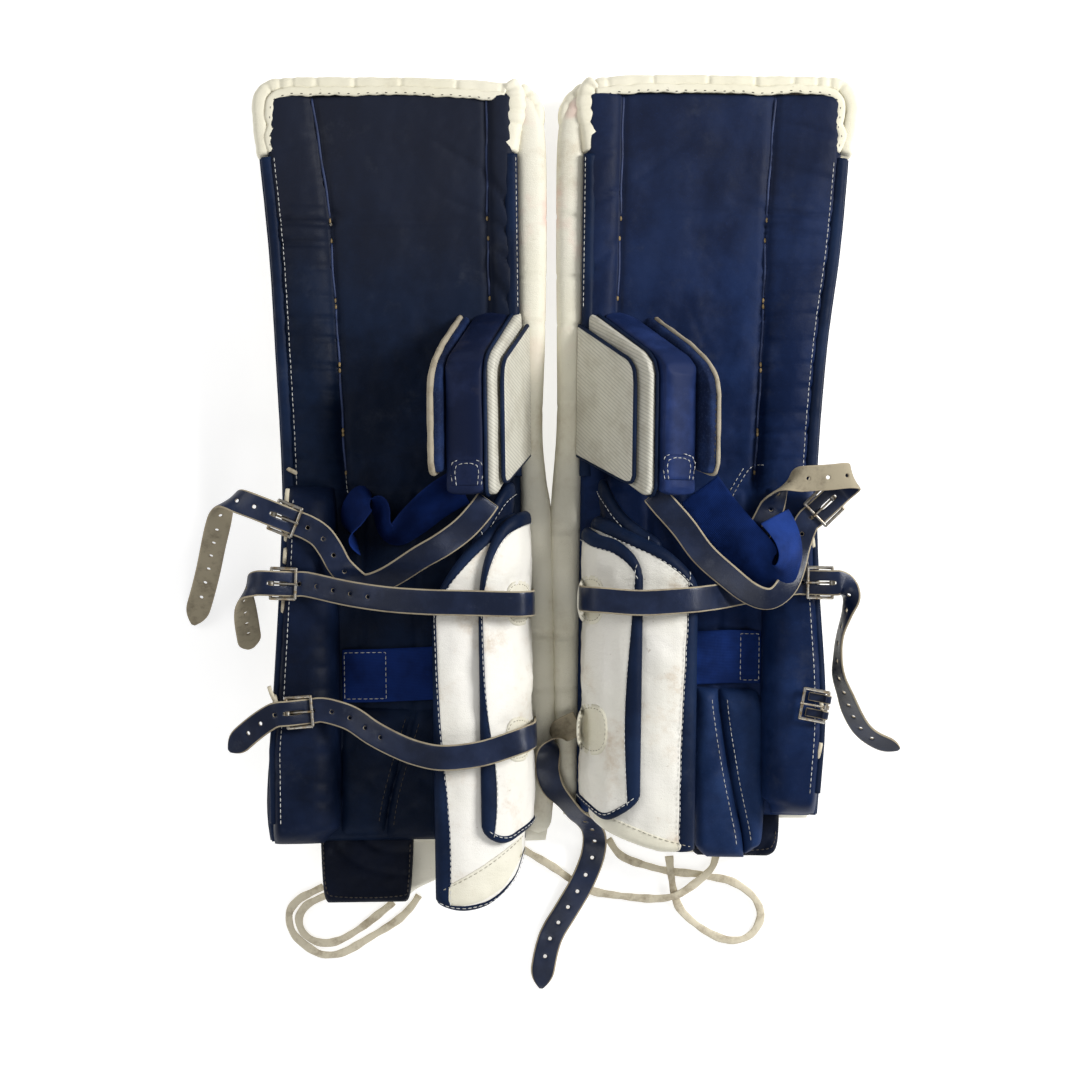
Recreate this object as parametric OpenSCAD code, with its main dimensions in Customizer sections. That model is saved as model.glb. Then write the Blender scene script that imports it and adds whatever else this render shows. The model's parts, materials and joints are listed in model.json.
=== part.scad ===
// A pair of goalie leg pads lying on their front faces, seen from the leg side.
// Each pad is drawn in its own frame: x points to the inner (medial) side,
// y to the thigh end, z up from the front face, and is then placed in the pair.

/* [Pads] */
// Width of a pad's front face
face_w = 286; // [280:1:290]
// Thickness of the foam slab with its cover
slab_t = 55; // [52:1:56]
// Thickness of the cover leather and its backing
skin = 3; // [2:0.5:4]
// Height where the thigh rise bends
thigh_y = 330; // [326:1:334]
// Top edge of the thigh rise
top_y = 464; // [455:1:470]
// Height where the boot bends, below the middle
boot_y = -270; // [-272:1:-268]
// Distance of the left pad's middle line from the origin
left_x = 137; // [137:1:150]
// Distance of the right pad's middle line from the origin
right_x = 158; // [158:1:170]
// Small turn of each pad away from the middle
splay = 0.8; // [0:0.1:0.8]

/* [Leg channel] */
// Half width of the back liner
liner_half = 118; // [114:1:120]
// Thickness of the liner
liner_t = 10; // [8:1:10]
// Height of the outer calf wing's top
outer_wing_top = 112; // [108:1:112]
// Thickness of the long inner wing panel
wing_t = 15; // [12:1:15]
// Thickness of the short inner wing panel
short_panel_t = 9; // [7:1:9]

/* [Knee stack] */
// Thickness of each knee block, outer to inner
block_t = [7, 11, 38, 12];

/* [Straps and buckles] */
// Width of a leather strap
strap_w = 25; // [22:1:25]
// Thickness of a leather strap
strap_t = 2.6; // [2:0.2:2.6]
// Radius of a buckle's wire
wire_r = 1.6; // [1.4:0.1:1.6]
// Distance between a buckle's base bar and far bar
buckle_l = 24; // [22:1:26]
// Distance between a buckle's side bars
buckle_w = 29.4; // [29:0.2:31]
// Height of the buckles' base bars
buckle_z = 118; // [118:1:120]
// Radius of a toe lace
lace_r = 3.5; // [3:0.5:3.5]

/* [Hidden] */
$fn = 32;

navy = [0.07, 0.12, 0.26];
dark_navy = [0.05, 0.07, 0.15];
royal = [0.04, 0.12, 0.5];
cream = [0.9, 0.88, 0.78];
steel = [0.75, 0.73, 0.68];
foam = [0.6, 0.6, 0.62];

half_w = face_w / 2;
thigh_fold = 20;   // most the thigh rise bends up, in degrees
boot_fold = 15;    // most the boot bends up, in degrees
break_gap = 1;     // play between two sections at a bend
liner_z = slab_t;
channel_z = slab_t + liner_t;
fit = 0.05;        // radial play of a buckle's hinge

// A value that differs between the two pads
function pick(side, a, b) = side == "left" ? a : b;

// ---------- helpers ----------

// Places a pad's own frame in the pair; the right pad is a mirror image
module place(side) {
    if (side == "left")
        translate([-left_x, 0, 0]) rotate([0, 0, splay]) children();
    else
        translate([right_x, 0, 0]) rotate([0, 0, -splay]) mirror([1, 0, 0]) children();
}

// A flat (x, z) shape drawn out from y0 to y1
module along_y(y0, y1) {
    translate([0, y1, 0]) rotate([90, 0, 0]) linear_extrude(y1 - y0) children();
}

// A flat (y, z) shape drawn out from x0 to x1
module along_x(x0, x1) {
    translate([x0, 0, 0]) rotate([90, 0, 90]) linear_extrude(x1 - x0) children();
}

// Rectangle with four round corners
module round_rect(x0, z0, x1, z1, r) {
    translate([x0 + r, z0]) square([x1 - x0 - 2 * r, z1 - z0]);
    translate([x0, z0 + r]) square([x1 - x0, z1 - z0 - 2 * r]);
    for (x = [x0 + r, x1 - r], z = [z0 + r, z1 - r]) translate([x, z]) circle(r);
}

// Catmull-Rom point between b and c
function mid_point(a, b, c, d, t) =
    0.5 * (2 * b + (c - a) * t + (2 * a - 5 * b + 4 * c - d) * t * t
        + (3 * b - a - 3 * c + d) * t * t * t);

// A list of rows smoothed with `steps` stretches between each pair
function smooth(rows, steps) = let (n = len(rows) - 1) concat(
    [for (i = [0 : n - 1], k = [0 : steps - 1]) mid_point(
        rows[max(0, i - 1)], rows[i], rows[i + 1], rows[min(n, i + 2)], k / steps)],
    [rows[n]]);

// Direction of travel at row i, from the rows beside it
function travel(rows, i) = let (
    n = len(rows) - 1,
    a = rows[max(0, i - 1)],
    b = rows[min(n, i + 1)],
    d = [b[0] - a[0], b[1] - a[1], b[2] - a[2]]) d / norm(d);

// The four corners of a band's section at row i. A row is
// [x, y, z, azimuth and elevation of the band's width direction, share of the full width]
function band_corners(rows, i, w, t) = let (
    r = rows[i],
    s = [cos(r[3]) * cos(r[4]), sin(r[3]) * cos(r[4]), sin(r[4])] * w * r[5] / 2,
    n = cross(travel(rows, i), s),
    h = n / norm(n) * t / 2,
    c = [r[0], r[1], r[2]]) [c + s + h, c - s + h, c - s - h, c + s - h];

// Triangles of a tube of rings, with both ends closed
function ring_faces(count, sides) = concat(
    [for (i = [0 : count - 2], j = [0 : sides - 1]) let (
        a = i * sides + j, b = i * sides + (j + 1) % sides) [a, a + sides, b]],
    [for (i = [0 : count - 2], j = [0 : sides - 1]) let (
        a = i * sides + j, b = i * sides + (j + 1) % sides) [b, a + sides, b + sides]],
    [[for (j = [0 : sides - 1]) j]],
    [[for (j = [sides - 1 : -1 : 0]) (count - 1) * sides + j]]);

// A flat band that follows rows
module band(rows, w, t, steps) {
    fine = smooth([for (r = rows) len(r) == 6 ? r : concat(r, [1])], steps);
    polyhedron([for (i = [0 : len(fine) - 1], p = band_corners(fine, i, w, t)) p],
        ring_faces(len(fine), 4), convexity = 8);
}

// The ring of points round a lace at row i
function lace_ring(rows, i, r, sides) = let (
    d = travel(rows, i),
    u = cross(d, [0, 0, 1]) / norm(cross(d, [0, 0, 1])),
    v = cross(u, d)) [for (k = [0 : sides - 1]) let (a = 360 * k / sides)
        [rows[i][0], rows[i][1], rows[i][2]] + r * (u * cos(a) + v * sin(a))];

// A round lace that follows its points
module lace(points, r) {
    sides = 8;
    fine = smooth(points, 2);
    polyhedron([for (i = [0 : len(fine) - 1], p = lace_ring(fine, i, r, sides)) p],
        ring_faces(len(fine), sides), convexity = 8);
}

// A strip of thickness t that follows a line, kept `out` to its left
function strip_outline(line, out, t) = let (n = len(line) - 1,
    normals = [for (i = [0 : n]) let (
        d = line[min(n, i + 1)] - line[max(0, i - 1)]) [d[1], -d[0]] / norm(d)]) concat(
    [for (i = [0 : n]) line[i] + normals[i] * (out + t / 2)],
    [for (i = [n : -1 : 0]) line[i] + normals[i] * (out - t / 2)]);

// ---------- covers, cores and liners ----------

// Everything above the slanted lower face of the thigh rise
module thigh_side() {
    along_x(-half_w - 10, half_w + 10) polygon([
        [thigh_y + break_gap, 0], [top_y + 20, 0], [top_y + 20, 100],
        [thigh_y + break_gap + 100 * tan(thigh_fold), 100]]);
}

// Everything below the slanted upper face of the boot
module boot_side() {
    along_x(-half_w - 10, half_w + 10) polygon([
        [boot_y - break_gap, 0], [boot_y - break_gap - 100 * tan(boot_fold), 100],
        [boot_y - 150, 100], [boot_y - 150, 0]]);
}

module slab(y0, y1, inset) {
    along_y(y0 + inset, y1 - inset)
        round_rect(-half_w + inset, inset, half_w - inset, slab_t - inset, 16 - inset);
}

module shin_cover(side) {
    outer_end = pick(side, -308, -282);
    inner_end = pick(side, -290, boot_y);
    color(cream) difference() {
        union() {
            slab(boot_y, thigh_y, 0);
            // foot ends of the two edge rolls, beside the boot
            along_y(outer_end, boot_y) round_rect(-half_w, 0, -90, slab_t, 14);
            if (inner_end < boot_y)
                along_y(inner_end, boot_y) round_rect(104, 0, half_w, slab_t, 14);
        }
        slab(boot_y, thigh_y, skin);
    }
}

module shin_core() {
    color(foam) slab(boot_y, thigh_y, skin + fit);
}

module thigh_cover() {
    color(dark_navy) difference() {
        intersection() {
            slab(thigh_y, top_y - 16, 0);
            thigh_side();
        }
        thigh_hollow(skin);
        binding_roll();
    }
}

// The room inside the thigh cover, `inset` in from its outside and clear of the binding
module thigh_hollow(inset) {
    side = half_w - 16 - inset;
    intersection() {
        along_y(thigh_y + 2 * inset, top_y - 16 - inset)
            translate([-side, inset]) square([2 * side, slab_t - 2 * inset]);
        translate([0, inset, 0]) thigh_side();
    }
}

module thigh_core() {
    color(foam) thigh_hollow(skin + fit);
}

module shin_liner(side) {
    bottom = pick(side, -300, -276);
    color(navy) along_y(boot_y, thigh_y)
        translate([-liner_half, liner_z]) square([2 * liner_half, liner_t]);
    color(navy) translate([-liner_half, bottom, liner_z])
        cube([liner_half - 92, boot_y - bottom, liner_t]);
}

module thigh_liner() {
    color(dark_navy) intersection() {
        along_y(thigh_y, top_y - 17)
            translate([-liner_half, liner_z]) square([2 * liner_half, liner_t]);
        thigh_side();
    }
}

// The white roll that wraps the top of the thigh rise and its two corners
module binding_roll() {
    roll_w = 16;
    arm_end = top_y - 79;
    along_x(-half_w + 8, half_w - 8) round_rect(top_y - roll_w, 20, top_y, 68, 7);
    for (x = [-half_w, half_w - roll_w])
        along_y(arm_end, top_y - 8) round_rect(x, 20, x + roll_w, 68, 7);
}

module top_binding() {
    color(cream) binding_roll();
}

// Toe of the pad; the left boot lies flat and the right one is curled short
module boot_cover(side) {
    outline = pick(side,
        [[-86, boot_y], [-86, -346], [-78, -359], [-66, -365], [-4, -365], [10, -352],
         [60, -330], [88, -304], [92, boot_y]],
        [[-86, boot_y], [-86, -304], [-78, -314], [-66, -318], [30, -318], [56, -308],
         [72, -292], [78, boot_y]]);
    color(cream) intersection() {
        linear_extrude(45) polygon(outline);
        boot_side();
    }
}

module boot_liner(side) {
    toe = pick(side, -362, -316);
    color(dark_navy) intersection() {
        translate([0, 0, 45]) linear_extrude(12)
            polygon([[-84, boot_y], [-84, toe + 14], [-72, toe], [-6, toe], [4, toe + 12], [6, boot_y]]);
        boot_side();
    }
}

module channel_bolsters() {
    color(navy) along_y(62, thigh_y - 2) round_rect(-119, channel_z, -60, channel_z + 20, 8);
    color(navy) along_y(232, thigh_y - 2) round_rect(88, channel_z, 116, channel_z + 20, 8);
}

module outer_wing(side) {
    foot = pick(side, -302, -272);
    color(navy) intersection() {
        along_y(foot, 55) {
            round_rect(-132, channel_z, -66, outer_wing_top, 12);
            translate([-132, channel_z]) square([66, 20]);
        }
        linear_extrude(outer_wing_top + 1)
            polygon([[-133, 56], [-66, 56], [-66, foot + 26], [-72, foot + 8], [-84, foot],
                     [-133, foot]]);
    }
}

// ---------- knee stack ----------

// Lean of the stack towards the leg channel, and the x of its outer base corner
function stack_lean(side) = pick(side, 15, 32);
function stack_x(side) = pick(side, 131, 126);
// Share of their height that the blocks keep at that lean
function stack_rise(side) = pick(side, 1, 0.93);
stack_z = channel_z + 1;
block_gap = 0.3;

// Side outlines of the blocks as (y, height above the base)
block_sides = [
    [[83, 0], [212, 0], [166, 90], [150, 92], [56, 92], [50, 86]],
    [[84, 0], [226, 0], [176, 94], [160, 102], [48, 102], [41, 92]],
    [[86, 0], [226, 0], [176, 94], [158, 102], [50, 102], [42, 92]],
    [[92, 0], [222, 0], [166, 92], [140, 102], [70, 102], [62, 96]]
];

// Sum of the thicknesses before block i
function before(i) = i == 0 ? 0 : before(i - 1) + block_t[i - 1] + block_gap;

module knee_block(side, i) {
    lean = stack_lean(side);
    h = 120;
    shift = h * tan(lean);
    x0 = stack_x(side) - before(i) / cos(lean);
    x1 = x0 - block_t[i] / cos(lean);
    intersection() {
        along_y(0, 300) polygon([
            [x0, stack_z], [x1, stack_z], [x1 - shift, stack_z + h], [x0 - shift, stack_z + h]]);
        translate([-60, 0, stack_z]) along_x(0, 240)
            polygon([for (p = block_sides[i]) [p[0], p[1] * stack_rise(side)]]);
    }
}

// ---------- inner calf wing ----------

function wing_x(side) = pick(side, 110, 98);
wing_z = channel_z + 8;

// Middle line of the long panel, from its bead at the edge roll over to the free edge
function wing_line(side) = let (x = wing_x(side), z = wing_z) smooth(pick(side,
    [[x, z], [x, z + 23], [x - 8, z + 44], [x - 26, z + 58], [x - 52, z + 65], [x - 77, z + 63]],
    [[x, z], [x, z + 21], [x - 9, z + 42], [x - 30, z + 57], [x - 62, z + 64],
     [x - 92, z + 61]]), 4);

module wing_panel_long(side) {
    outline = pick(side,
        [[140, 33], [112, 24], [91, 12], [66, -12], [46, -39], [38, -58], [31, -100],
         [27, -160], [25, -335], [34, -353], [50, -358], [68, -358], [86, -351], [103, -332],
         [115, -300], [140, -281]],
        [[125, 33], [100, 22], [72, 7], [38, -10], [15, -30], [4, -49], [-2, -80], [-2, -296],
         [8, -303], [40, -301], [66, -294], [91, -283], [110, -266], [125, -255]]);
    color(cream) intersection() {
        along_y(-370, 40) {
            polygon(strip_outline(wing_line(side), 0, wing_t));
            translate([wing_x(side), wing_z]) circle(wing_t / 2);
        }
        linear_extrude(200) polygon(outline);
    }
}

module wing_panel_short(side) {
    outline = pick(side,
        [[140, 31], [114, 22], [99, 10], [88, -12], [82, -35], [79, -62], [77, -150],
         [75, -268], [79, -283], [88, -292], [100, -294], [113, -287], [140, -270]],
        [[125, 31], [117, 15], [102, 3], [84, -3], [67, -18], [59, -41], [57, -80],
         [64, -160], [65, -250], [70, -261], [80, -269], [92, -272], [106, -262], [125, -246]]);
    line = [for (p = wing_line(side)) if (p[1] > wing_z + 3) p];
    rise = (wing_t + short_panel_t) / 2 + 0.2;
    color(cream) intersection() {
        along_y(-300, 40) polygon(strip_outline(line, rise, short_panel_t));
        linear_extrude(200) polygon(outline);
    }
}

// ---------- elastics ----------

module calf_elastic(side) {
    span = pick(side, [-62, 92], [-64, 84]);
    low = pick(side, -162, -143);
    color(royal) translate([span[0], low, channel_z]) cube([span[1] - span[0], 55, 3]);
}

elastic_w = 46;
elastic_t = 2;
left_elastic_rows = [
    [60, 52, 88, 150, 35], [36, 38, 90, 140, 42], [12, 18, 92, 130, 50], [-6, 4, 92, 90, 62],
    [-17, 14, 92, 20, 68], [-20, 32, 92, 10, 62], [-32, 44, 92, -50, 50], [-45, 30, 92, -70, 40],
    [-50, 8, 92, -80, 30], [-42, -14, 90, -60, 40]
];
right_elastic_rows = [
    [2, 50, 96, 142, 10], [-14, 28, 102, 142, 12], [-34, 4, 113, 140, 15],
    [-54, -17, 126, 132, 25], [-69, -31, 137, 100, 45], [-79, -30, 143, 40, 55],
    [-84, -14, 144, 10, 55], [-80, 2, 144, -40, 50], [-71, 8, 143, -70, 45]
];

module knee_elastic(side) {
    color(royal) band(pick(side, left_elastic_rows, right_elastic_rows), elastic_w, elastic_t, 2);
}

// ---------- straps ----------

over_bar = 5.8;    // strap's middle over the base bar
under_bar = -3.1;  // strap's middle under the far bar

// A buckle is [x, y of its base bar, heading of the far bar in degrees]
function knee_buckle_at(side) = pick(side, [-122.5, 27, -22.7], [-127, 43, -45]);
function calf_buckle_at(side) = pick(side, [-126, -40.4, -3], [-127.8, -40, 0]);
function boot_buckle_at(side) = pick(side, [-112, -167.5, 4], [-123.6, -161.8, 10]);

// The strap's row at a distance along a buckle from its base bar
function buckle_row(at, d, rise) = [at[0] + d * cos(at[2]), at[1] + d * sin(at[2]),
    buckle_z + rise, at[2] + 90, 0];

function through_buckle(at) = [
    buckle_row(at, buckle_l + 12, under_bar + 0.6), buckle_row(at, buckle_l, under_bar),
    buckle_row(at, buckle_l / 2, (over_bar + under_bar) / 2), buckle_row(at, 0, over_bar),
    buckle_row(at, -10, over_bar)];

left_knee_route = concat(
    [[80, 27, 150, 124, 8], [64, 10, 150, 122, 10], [43, -5, 147, 120, 14], [21, -17, 136, 115, 20],
     [-13, -37, 117, 105, 30], [-37, -42, 109, 82, 36], [-57, -27, 116, 45, 12],
     [-67, -9, 117, 32, 5], [-77, 5, 117, 50, 0]],
    through_buckle(knee_buckle_at("left")),
    [[-150, 38, 121, 66, 0], [-163, 41.5, 115, 52, -22], [-171, 39, 106, 27, -41],
     [-176, 31, 96, 5, -30], [-181, 18, 86, -8, -12], [-188, 0, 68, -14, 0],
     [-198, -28, 40, -14, 0], [-208, -55, 20, -14, 0], [-219, -84, 6, -14, 0, 0.4]]);
left_calf_route = concat(
    [[129.5, -63, 56, 90, 0], [129.5, -63, 132, 90, 0], [124, -63, 152, 90, 0],
     [110, -63, 158.5, 90, 0], [60, -61, 159.5, 90, 0], [30, -60, 157, 89, 0],
     [-10, -57, 148, 87, 0], [-50, -51, 134, 85, 0]],
    through_buckle(calf_buckle_at("left")),
    [[-142, -40.5, 121, 85, 0], [-150, -45, 115, 72, -18], [-154, -53, 106, 55, -32],
     [-155, -64, 94, 36, -18], [-156, -80, 72, 27, 0], [-157, -98, 44, 26, 0],
     [-158, -108, 26, 26, 0, 0.4]]);
left_boot_route = concat(
    [[129.5, -190, 56, 90, 0], [129.5, -190, 130, 92, 0], [123, -192, 151, 98, 0],
     [108, -197, 158.5, 108, 0], [77, -206, 159.5, 104, 0], [42, -209.5, 158, 90, 0],
     [18, -206, 150, 80, 5], [-3, -199, 140, 68, 8], [-28, -187, 128, 63, 5], [-50, -173, 119, 68, 0]],
    through_buckle(boot_buckle_at("left")),
    [[-130, -172, 120, 100, 0], [-142, -180, 113, 112, 0], [-156, -191, 102, 118, 0],
     [-166, -200, 94, 122, 0], [-173, -206, 88, 124, 0, 0.5]]);
right_knee_route = concat(
    [[39, 33, 146, 140, 10], [20, 12, 146, 139, 10], [1, -13, 141, 134, 14],
     [-23, -34, 143, 124, 20], [-46, -51, 139, 112, 28], [-66, -56, 136, 85, 30],
     [-82, -43, 130, 40, 22], [-90, -22, 122, 22, 10], [-94, -4, 117, 26, 2]],
    through_buckle(knee_buckle_at("right")),
    [[-139, 55, 130, 48, 0], [-144, 61, 139, 60, 0], [-138, 64, 149, 76, 0],
     [-120, 62, 153, 92, 0], [-94, 60, 153, 97, 0], [-83, 58, 150, 110, -30],
     [-75, 52, 142, 150, -52], [-70, 42, 134, 186, -34], [-66, 31, 127, 204, -5],
     [-60, 17, 118, 206, 0], [-54, 4, 107, 206, 0], [-48, -9, 97, 206, 0, 0.4]]);
right_calf_route = concat(
    [[118, -58, 67, 90, 0], [118, -58, 128, 90, 0], [112, -58.5, 150, 90, 0],
     [98, -59, 158, 90, 0], [60, -61, 159.5, 90, 0], [16, -58, 157, 88, 0],
     [-4, -56, 146, 86, 0], [-20, -54, 131, 86, 0], [-36, -51, 120, 86, 0],
     [-52, -48, 114.5, 87, 0], [-70, -44, 115.5, 89, 0]],
    through_buckle(calf_buckle_at("right")),
    [[-141, -45, 119, 118, 28], [-146, -55, 111, 155, 58], [-144, -70, 102, 176, 76],
     [-140, -90, 91, 186, 84], [-139, -110, 82, 182, 80], [-141, -132, 75, 172, 70],
     [-151, -155, 58, 160, 62], [-161, -175, 38, 150, 55], [-174, -192, 23, 140, 50],
     [-191, -203, 14, 122, 48], [-213, -211, 8, 108, 45, 0.5]]);
right_boot_route = [
    [117, -183, 72, 63, 0], [124, -186.5, 72, 63, 0], [132, -190.5, 73, 66, -4],
    [138, -194, 75, 85, -34], [142, -199, 77, 125, -60], [145, -207, 77, 165, -34],
    [147, -217, 76, 186, -4], [147.5, -231, 75, 186, 0], [142, -248, 72, 160, 20],
    [130, -262, 68, 144, 45], [118, -276, 58, 135, 55], [107, -286, 42, 142, 52],
    [100, -296, 28, 160, 34], [98, -310, 16, 178, 12], [101, -328, 12, 194, 0],
    [111, -353, 11, 204, 0], [126, -380, 8, 206, 0], [141, -407, 4.5, 203, 0],
    [148, -435, 3, 194, 0], [150.5, -462, 2.2, 186, 0, 0.3]
];

// Room for the prong in a buckled strap
module prong_slot(at) {
    translate([at[0], at[1], buckle_z]) rotate([0, 0, at[2]])
        translate([-6, -1.9, -8]) cube([26, 3.8, 20]);
}

module strap(rows) {
    color(navy) band(rows, strap_w, strap_t, 3);
}

module knee_strap(side) {
    color(navy) difference() {
        strap(pick(side, left_knee_route, right_knee_route));
        prong_slot(knee_buckle_at(side));
    }
}

module calf_strap(side) {
    color(navy) difference() {
        strap(pick(side, left_calf_route, right_calf_route));
        prong_slot(calf_buckle_at(side));
    }
}

module boot_strap(side) {
    if (side == "left") {
        color(navy) difference() {
            strap(left_boot_route);
            prong_slot(boot_buckle_at(side));
        }
    } else {
        strap(right_boot_route);
    }
}

// ---------- buckles ----------

module at_buckle(at) {
    translate([at[0], at[1], buckle_z]) rotate([0, 0, at[2]]) children();
}

prong_r = 1.1;
eye_r = 3;
eye_l = 4;
prong_pitch = asin((wire_r + prong_r + fit) / buckle_l);

module bar_y(r, l) {
    rotate([90, 0, 0]) cylinder(r = r, h = l, center = true);
}

module buckle_frame(at) {
    color(steel) at_buckle(at) {
        bar_y(wire_r, buckle_w);
        translate([buckle_l, 0, 0]) bar_y(wire_r, buckle_w);
        for (s = [-1, 1]) translate([0, s * buckle_w / 2, 0]) {
            rotate([0, 90, 0]) cylinder(r = wire_r, h = buckle_l);
            sphere(wire_r);
            translate([buckle_l, 0, 0]) sphere(wire_r);
        }
    }
}

module buckle_prong(at) {
    color(steel) at_buckle(at) {
        difference() {
            union() {
                bar_y(eye_r, eye_l);
                rotate([0, -prong_pitch, 0]) rotate([0, 90, 0])
                    cylinder(r = prong_r, h = buckle_l + 2.4);
            }
            bar_y(wire_r + fit, eye_l + 2);
        }
    }
}

// Leather loop that ties a buckle's base bar to the outer wing, split round the prong
module buckle_chape(at) {
    loop_w = strap_w - 1;
    loop_r = 4.2;
    slab_top = 2;
    at_buckle(at) difference() {
        union() {
            bar_y(loop_r, loop_w);
            translate([0, -loop_w / 2, outer_wing_top - buckle_z]) cube([17, loop_w, slab_top]);
        }
        bar_y(wire_r + fit, loop_w + 2);
        translate([-6, -3, -loop_r - 1]) cube([18, 6, 3 * loop_r]);
        translate([-10, -20, -20]) cube([60, 40, 20 + outer_wing_top - buckle_z]);
    }
}

module buckle_chapes(side) {
    color(dark_navy) {
        buckle_chape(knee_buckle_at(side));
        buckle_chape(calf_buckle_at(side));
        buckle_chape(boot_buckle_at(side));
    }
}

// ---------- toe laces, in the pair's own frame ----------

lace_z = 4;
left_lace_outer = [
    [-222, -355, lace_z], [-234, -361, lace_z], [-248, -369, lace_z], [-257, -383, lace_z],
    [-252, -404, lace_z], [-230, -422, lace_z], [-214, -425, lace_z], [-198, -421, lace_z],
    [-174, -407, lace_z], [-148, -391, lace_z], [-133, -377, lace_z], [-124, -364, lace_z]
];
left_lace_inner = [
    [-219, -364, lace_z], [-228, -368, lace_z], [-240, -375, lace_z], [-247, -388, lace_z],
    [-242, -403, lace_z], [-227, -412, lace_z], [-208, -411, lace_z], [-186, -399, lace_z],
    [-165, -383, lace_z], [-150, -371, lace_z]
];
right_lace_loop = [
    [70, -306, lace_z], [84, -324, lace_z], [114, -335, lace_z], [138, -340, lace_z],
    [160, -342, lace_z], [174, -345, lace_z], [197, -350, lace_z], [219, -366, lace_z],
    [226, -386, lace_z], [215, -405, lace_z], [194, -410, lace_z], [169, -400, lace_z],
    [146, -381, lace_z + 1], [138, -364, lace_z + 3], [134, -342, lace_z + 8],
    [132, -323, lace_z + 5]
];
right_lace_cross = [
    [-30, -307, lace_z], [-17, -317, lace_z], [12, -334, lace_z], [32, -348, lace_z],
    [52, -359, lace_z], [78, -364, lace_z], [114, -367, lace_z + 3], [138, -363, lace_z + 11],
    [158, -351, lace_z + 9], [175, -336, lace_z + 6], [180, -323, lace_z + 4]
];

module left_toe_lace() {
    color(cream) {
        lace(left_lace_outer, lace_r);
        lace(left_lace_inner, lace_r);
    }
}

module right_toe_lace() {
    color(cream) {
        lace(right_lace_loop, lace_r);
        lace(right_lace_cross, lace_r);
    }
}

// ---------- nodes ----------

place("left") shin_cover("left");  // left_shin_cover
place("left") shin_core();  // left_shin_core
place("left") shin_liner("left");  // left_shin_liner
place("left") channel_bolsters();  // left_channel_bolsters
place("left") outer_wing("left");  // left_outer_wing
place("left") calf_elastic("left");  // left_calf_elastic
place("left") knee_elastic("left");  // left_knee_elastic
place("left") knee_strap("left");  // left_knee_strap
place("left") calf_strap("left");  // left_calf_strap
place("left") boot_strap("left");  // left_boot_strap
place("left") buckle_chapes("left");  // left_buckle_chapes
place("left") thigh_cover();  // left_thigh_cover
place("left") thigh_core();  // left_thigh_core
place("left") thigh_liner();  // left_thigh_liner
place("left") top_binding();  // left_top_binding
place("left") boot_cover("left");  // left_boot_cover
place("left") boot_liner("left");  // left_boot_liner
left_toe_lace();
place("left") color(cream) knee_block("left", 0);  // left_knee_block_outer
place("left") color(cream) knee_block("left", 1);  // left_knee_block_middle
place("left") color(navy) knee_block("left", 2);  // left_knee_block_main
place("left") color(navy) knee_block("left", 3);  // left_knee_block_inner
place("left") wing_panel_long("left");  // left_wing_panel_long
place("left") wing_panel_short("left");  // left_wing_panel_short
place("left") buckle_frame(knee_buckle_at("left"));  // left_knee_buckle
place("left") buckle_frame(calf_buckle_at("left"));  // left_calf_buckle
place("left") buckle_frame(boot_buckle_at("left"));  // left_boot_buckle
place("left") buckle_prong(knee_buckle_at("left"));  // left_knee_prong
place("left") buckle_prong(calf_buckle_at("left"));  // left_calf_prong
place("left") buckle_prong(boot_buckle_at("left"));  // left_boot_prong

place("right") shin_cover("right");  // right_shin_cover
place("right") shin_core();  // right_shin_core
place("right") shin_liner("right");  // right_shin_liner
place("right") channel_bolsters();  // right_channel_bolsters
place("right") outer_wing("right");  // right_outer_wing
place("right") calf_elastic("right");  // right_calf_elastic
place("right") knee_elastic("right");  // right_knee_elastic
place("right") knee_strap("right");  // right_knee_strap
place("right") calf_strap("right");  // right_calf_strap
place("right") boot_strap("right");  // right_boot_strap
place("right") buckle_chapes("right");  // right_buckle_chapes
place("right") thigh_cover();  // right_thigh_cover
place("right") thigh_core();  // right_thigh_core
place("right") thigh_liner();  // right_thigh_liner
place("right") top_binding();  // right_top_binding
place("right") boot_cover("right");  // right_boot_cover
place("right") boot_liner("right");  // right_boot_liner
right_toe_lace();
place("right") color(cream) knee_block("right", 0);  // right_knee_block_outer
place("right") color(cream) knee_block("right", 1);  // right_knee_block_middle
place("right") color(navy) knee_block("right", 2);  // right_knee_block_main
place("right") color(navy) knee_block("right", 3);  // right_knee_block_inner
place("right") wing_panel_long("right");  // right_wing_panel_long
place("right") wing_panel_short("right");  // right_wing_panel_short
place("right") buckle_frame(knee_buckle_at("right"));  // right_knee_buckle
place("right") buckle_frame(calf_buckle_at("right"));  // right_calf_buckle
place("right") buckle_frame(boot_buckle_at("right"));  // right_boot_buckle
place("right") buckle_prong(knee_buckle_at("right"));  // right_knee_prong
place("right") buckle_prong(calf_buckle_at("right"));  // right_calf_prong
place("right") buckle_prong(boot_buckle_at("right"));  // right_boot_prong
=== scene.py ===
"""A pair of ice hockey goalie leg pads, lying on their front faces with the leg side up.

Sizes are in millimetres in a pad's own frame (x to the inner side, y to the thigh end, z up),
and become metres in the pair's frame when a mesh is made.
"""

from __future__ import annotations

import json
import logging
import math
from dataclasses import dataclass, field
from enum import Enum
from typing import Callable, Sequence

import bmesh
import bpy
import numpy as np
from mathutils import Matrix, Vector
from mathutils.bvhtree import BVHTree

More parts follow.
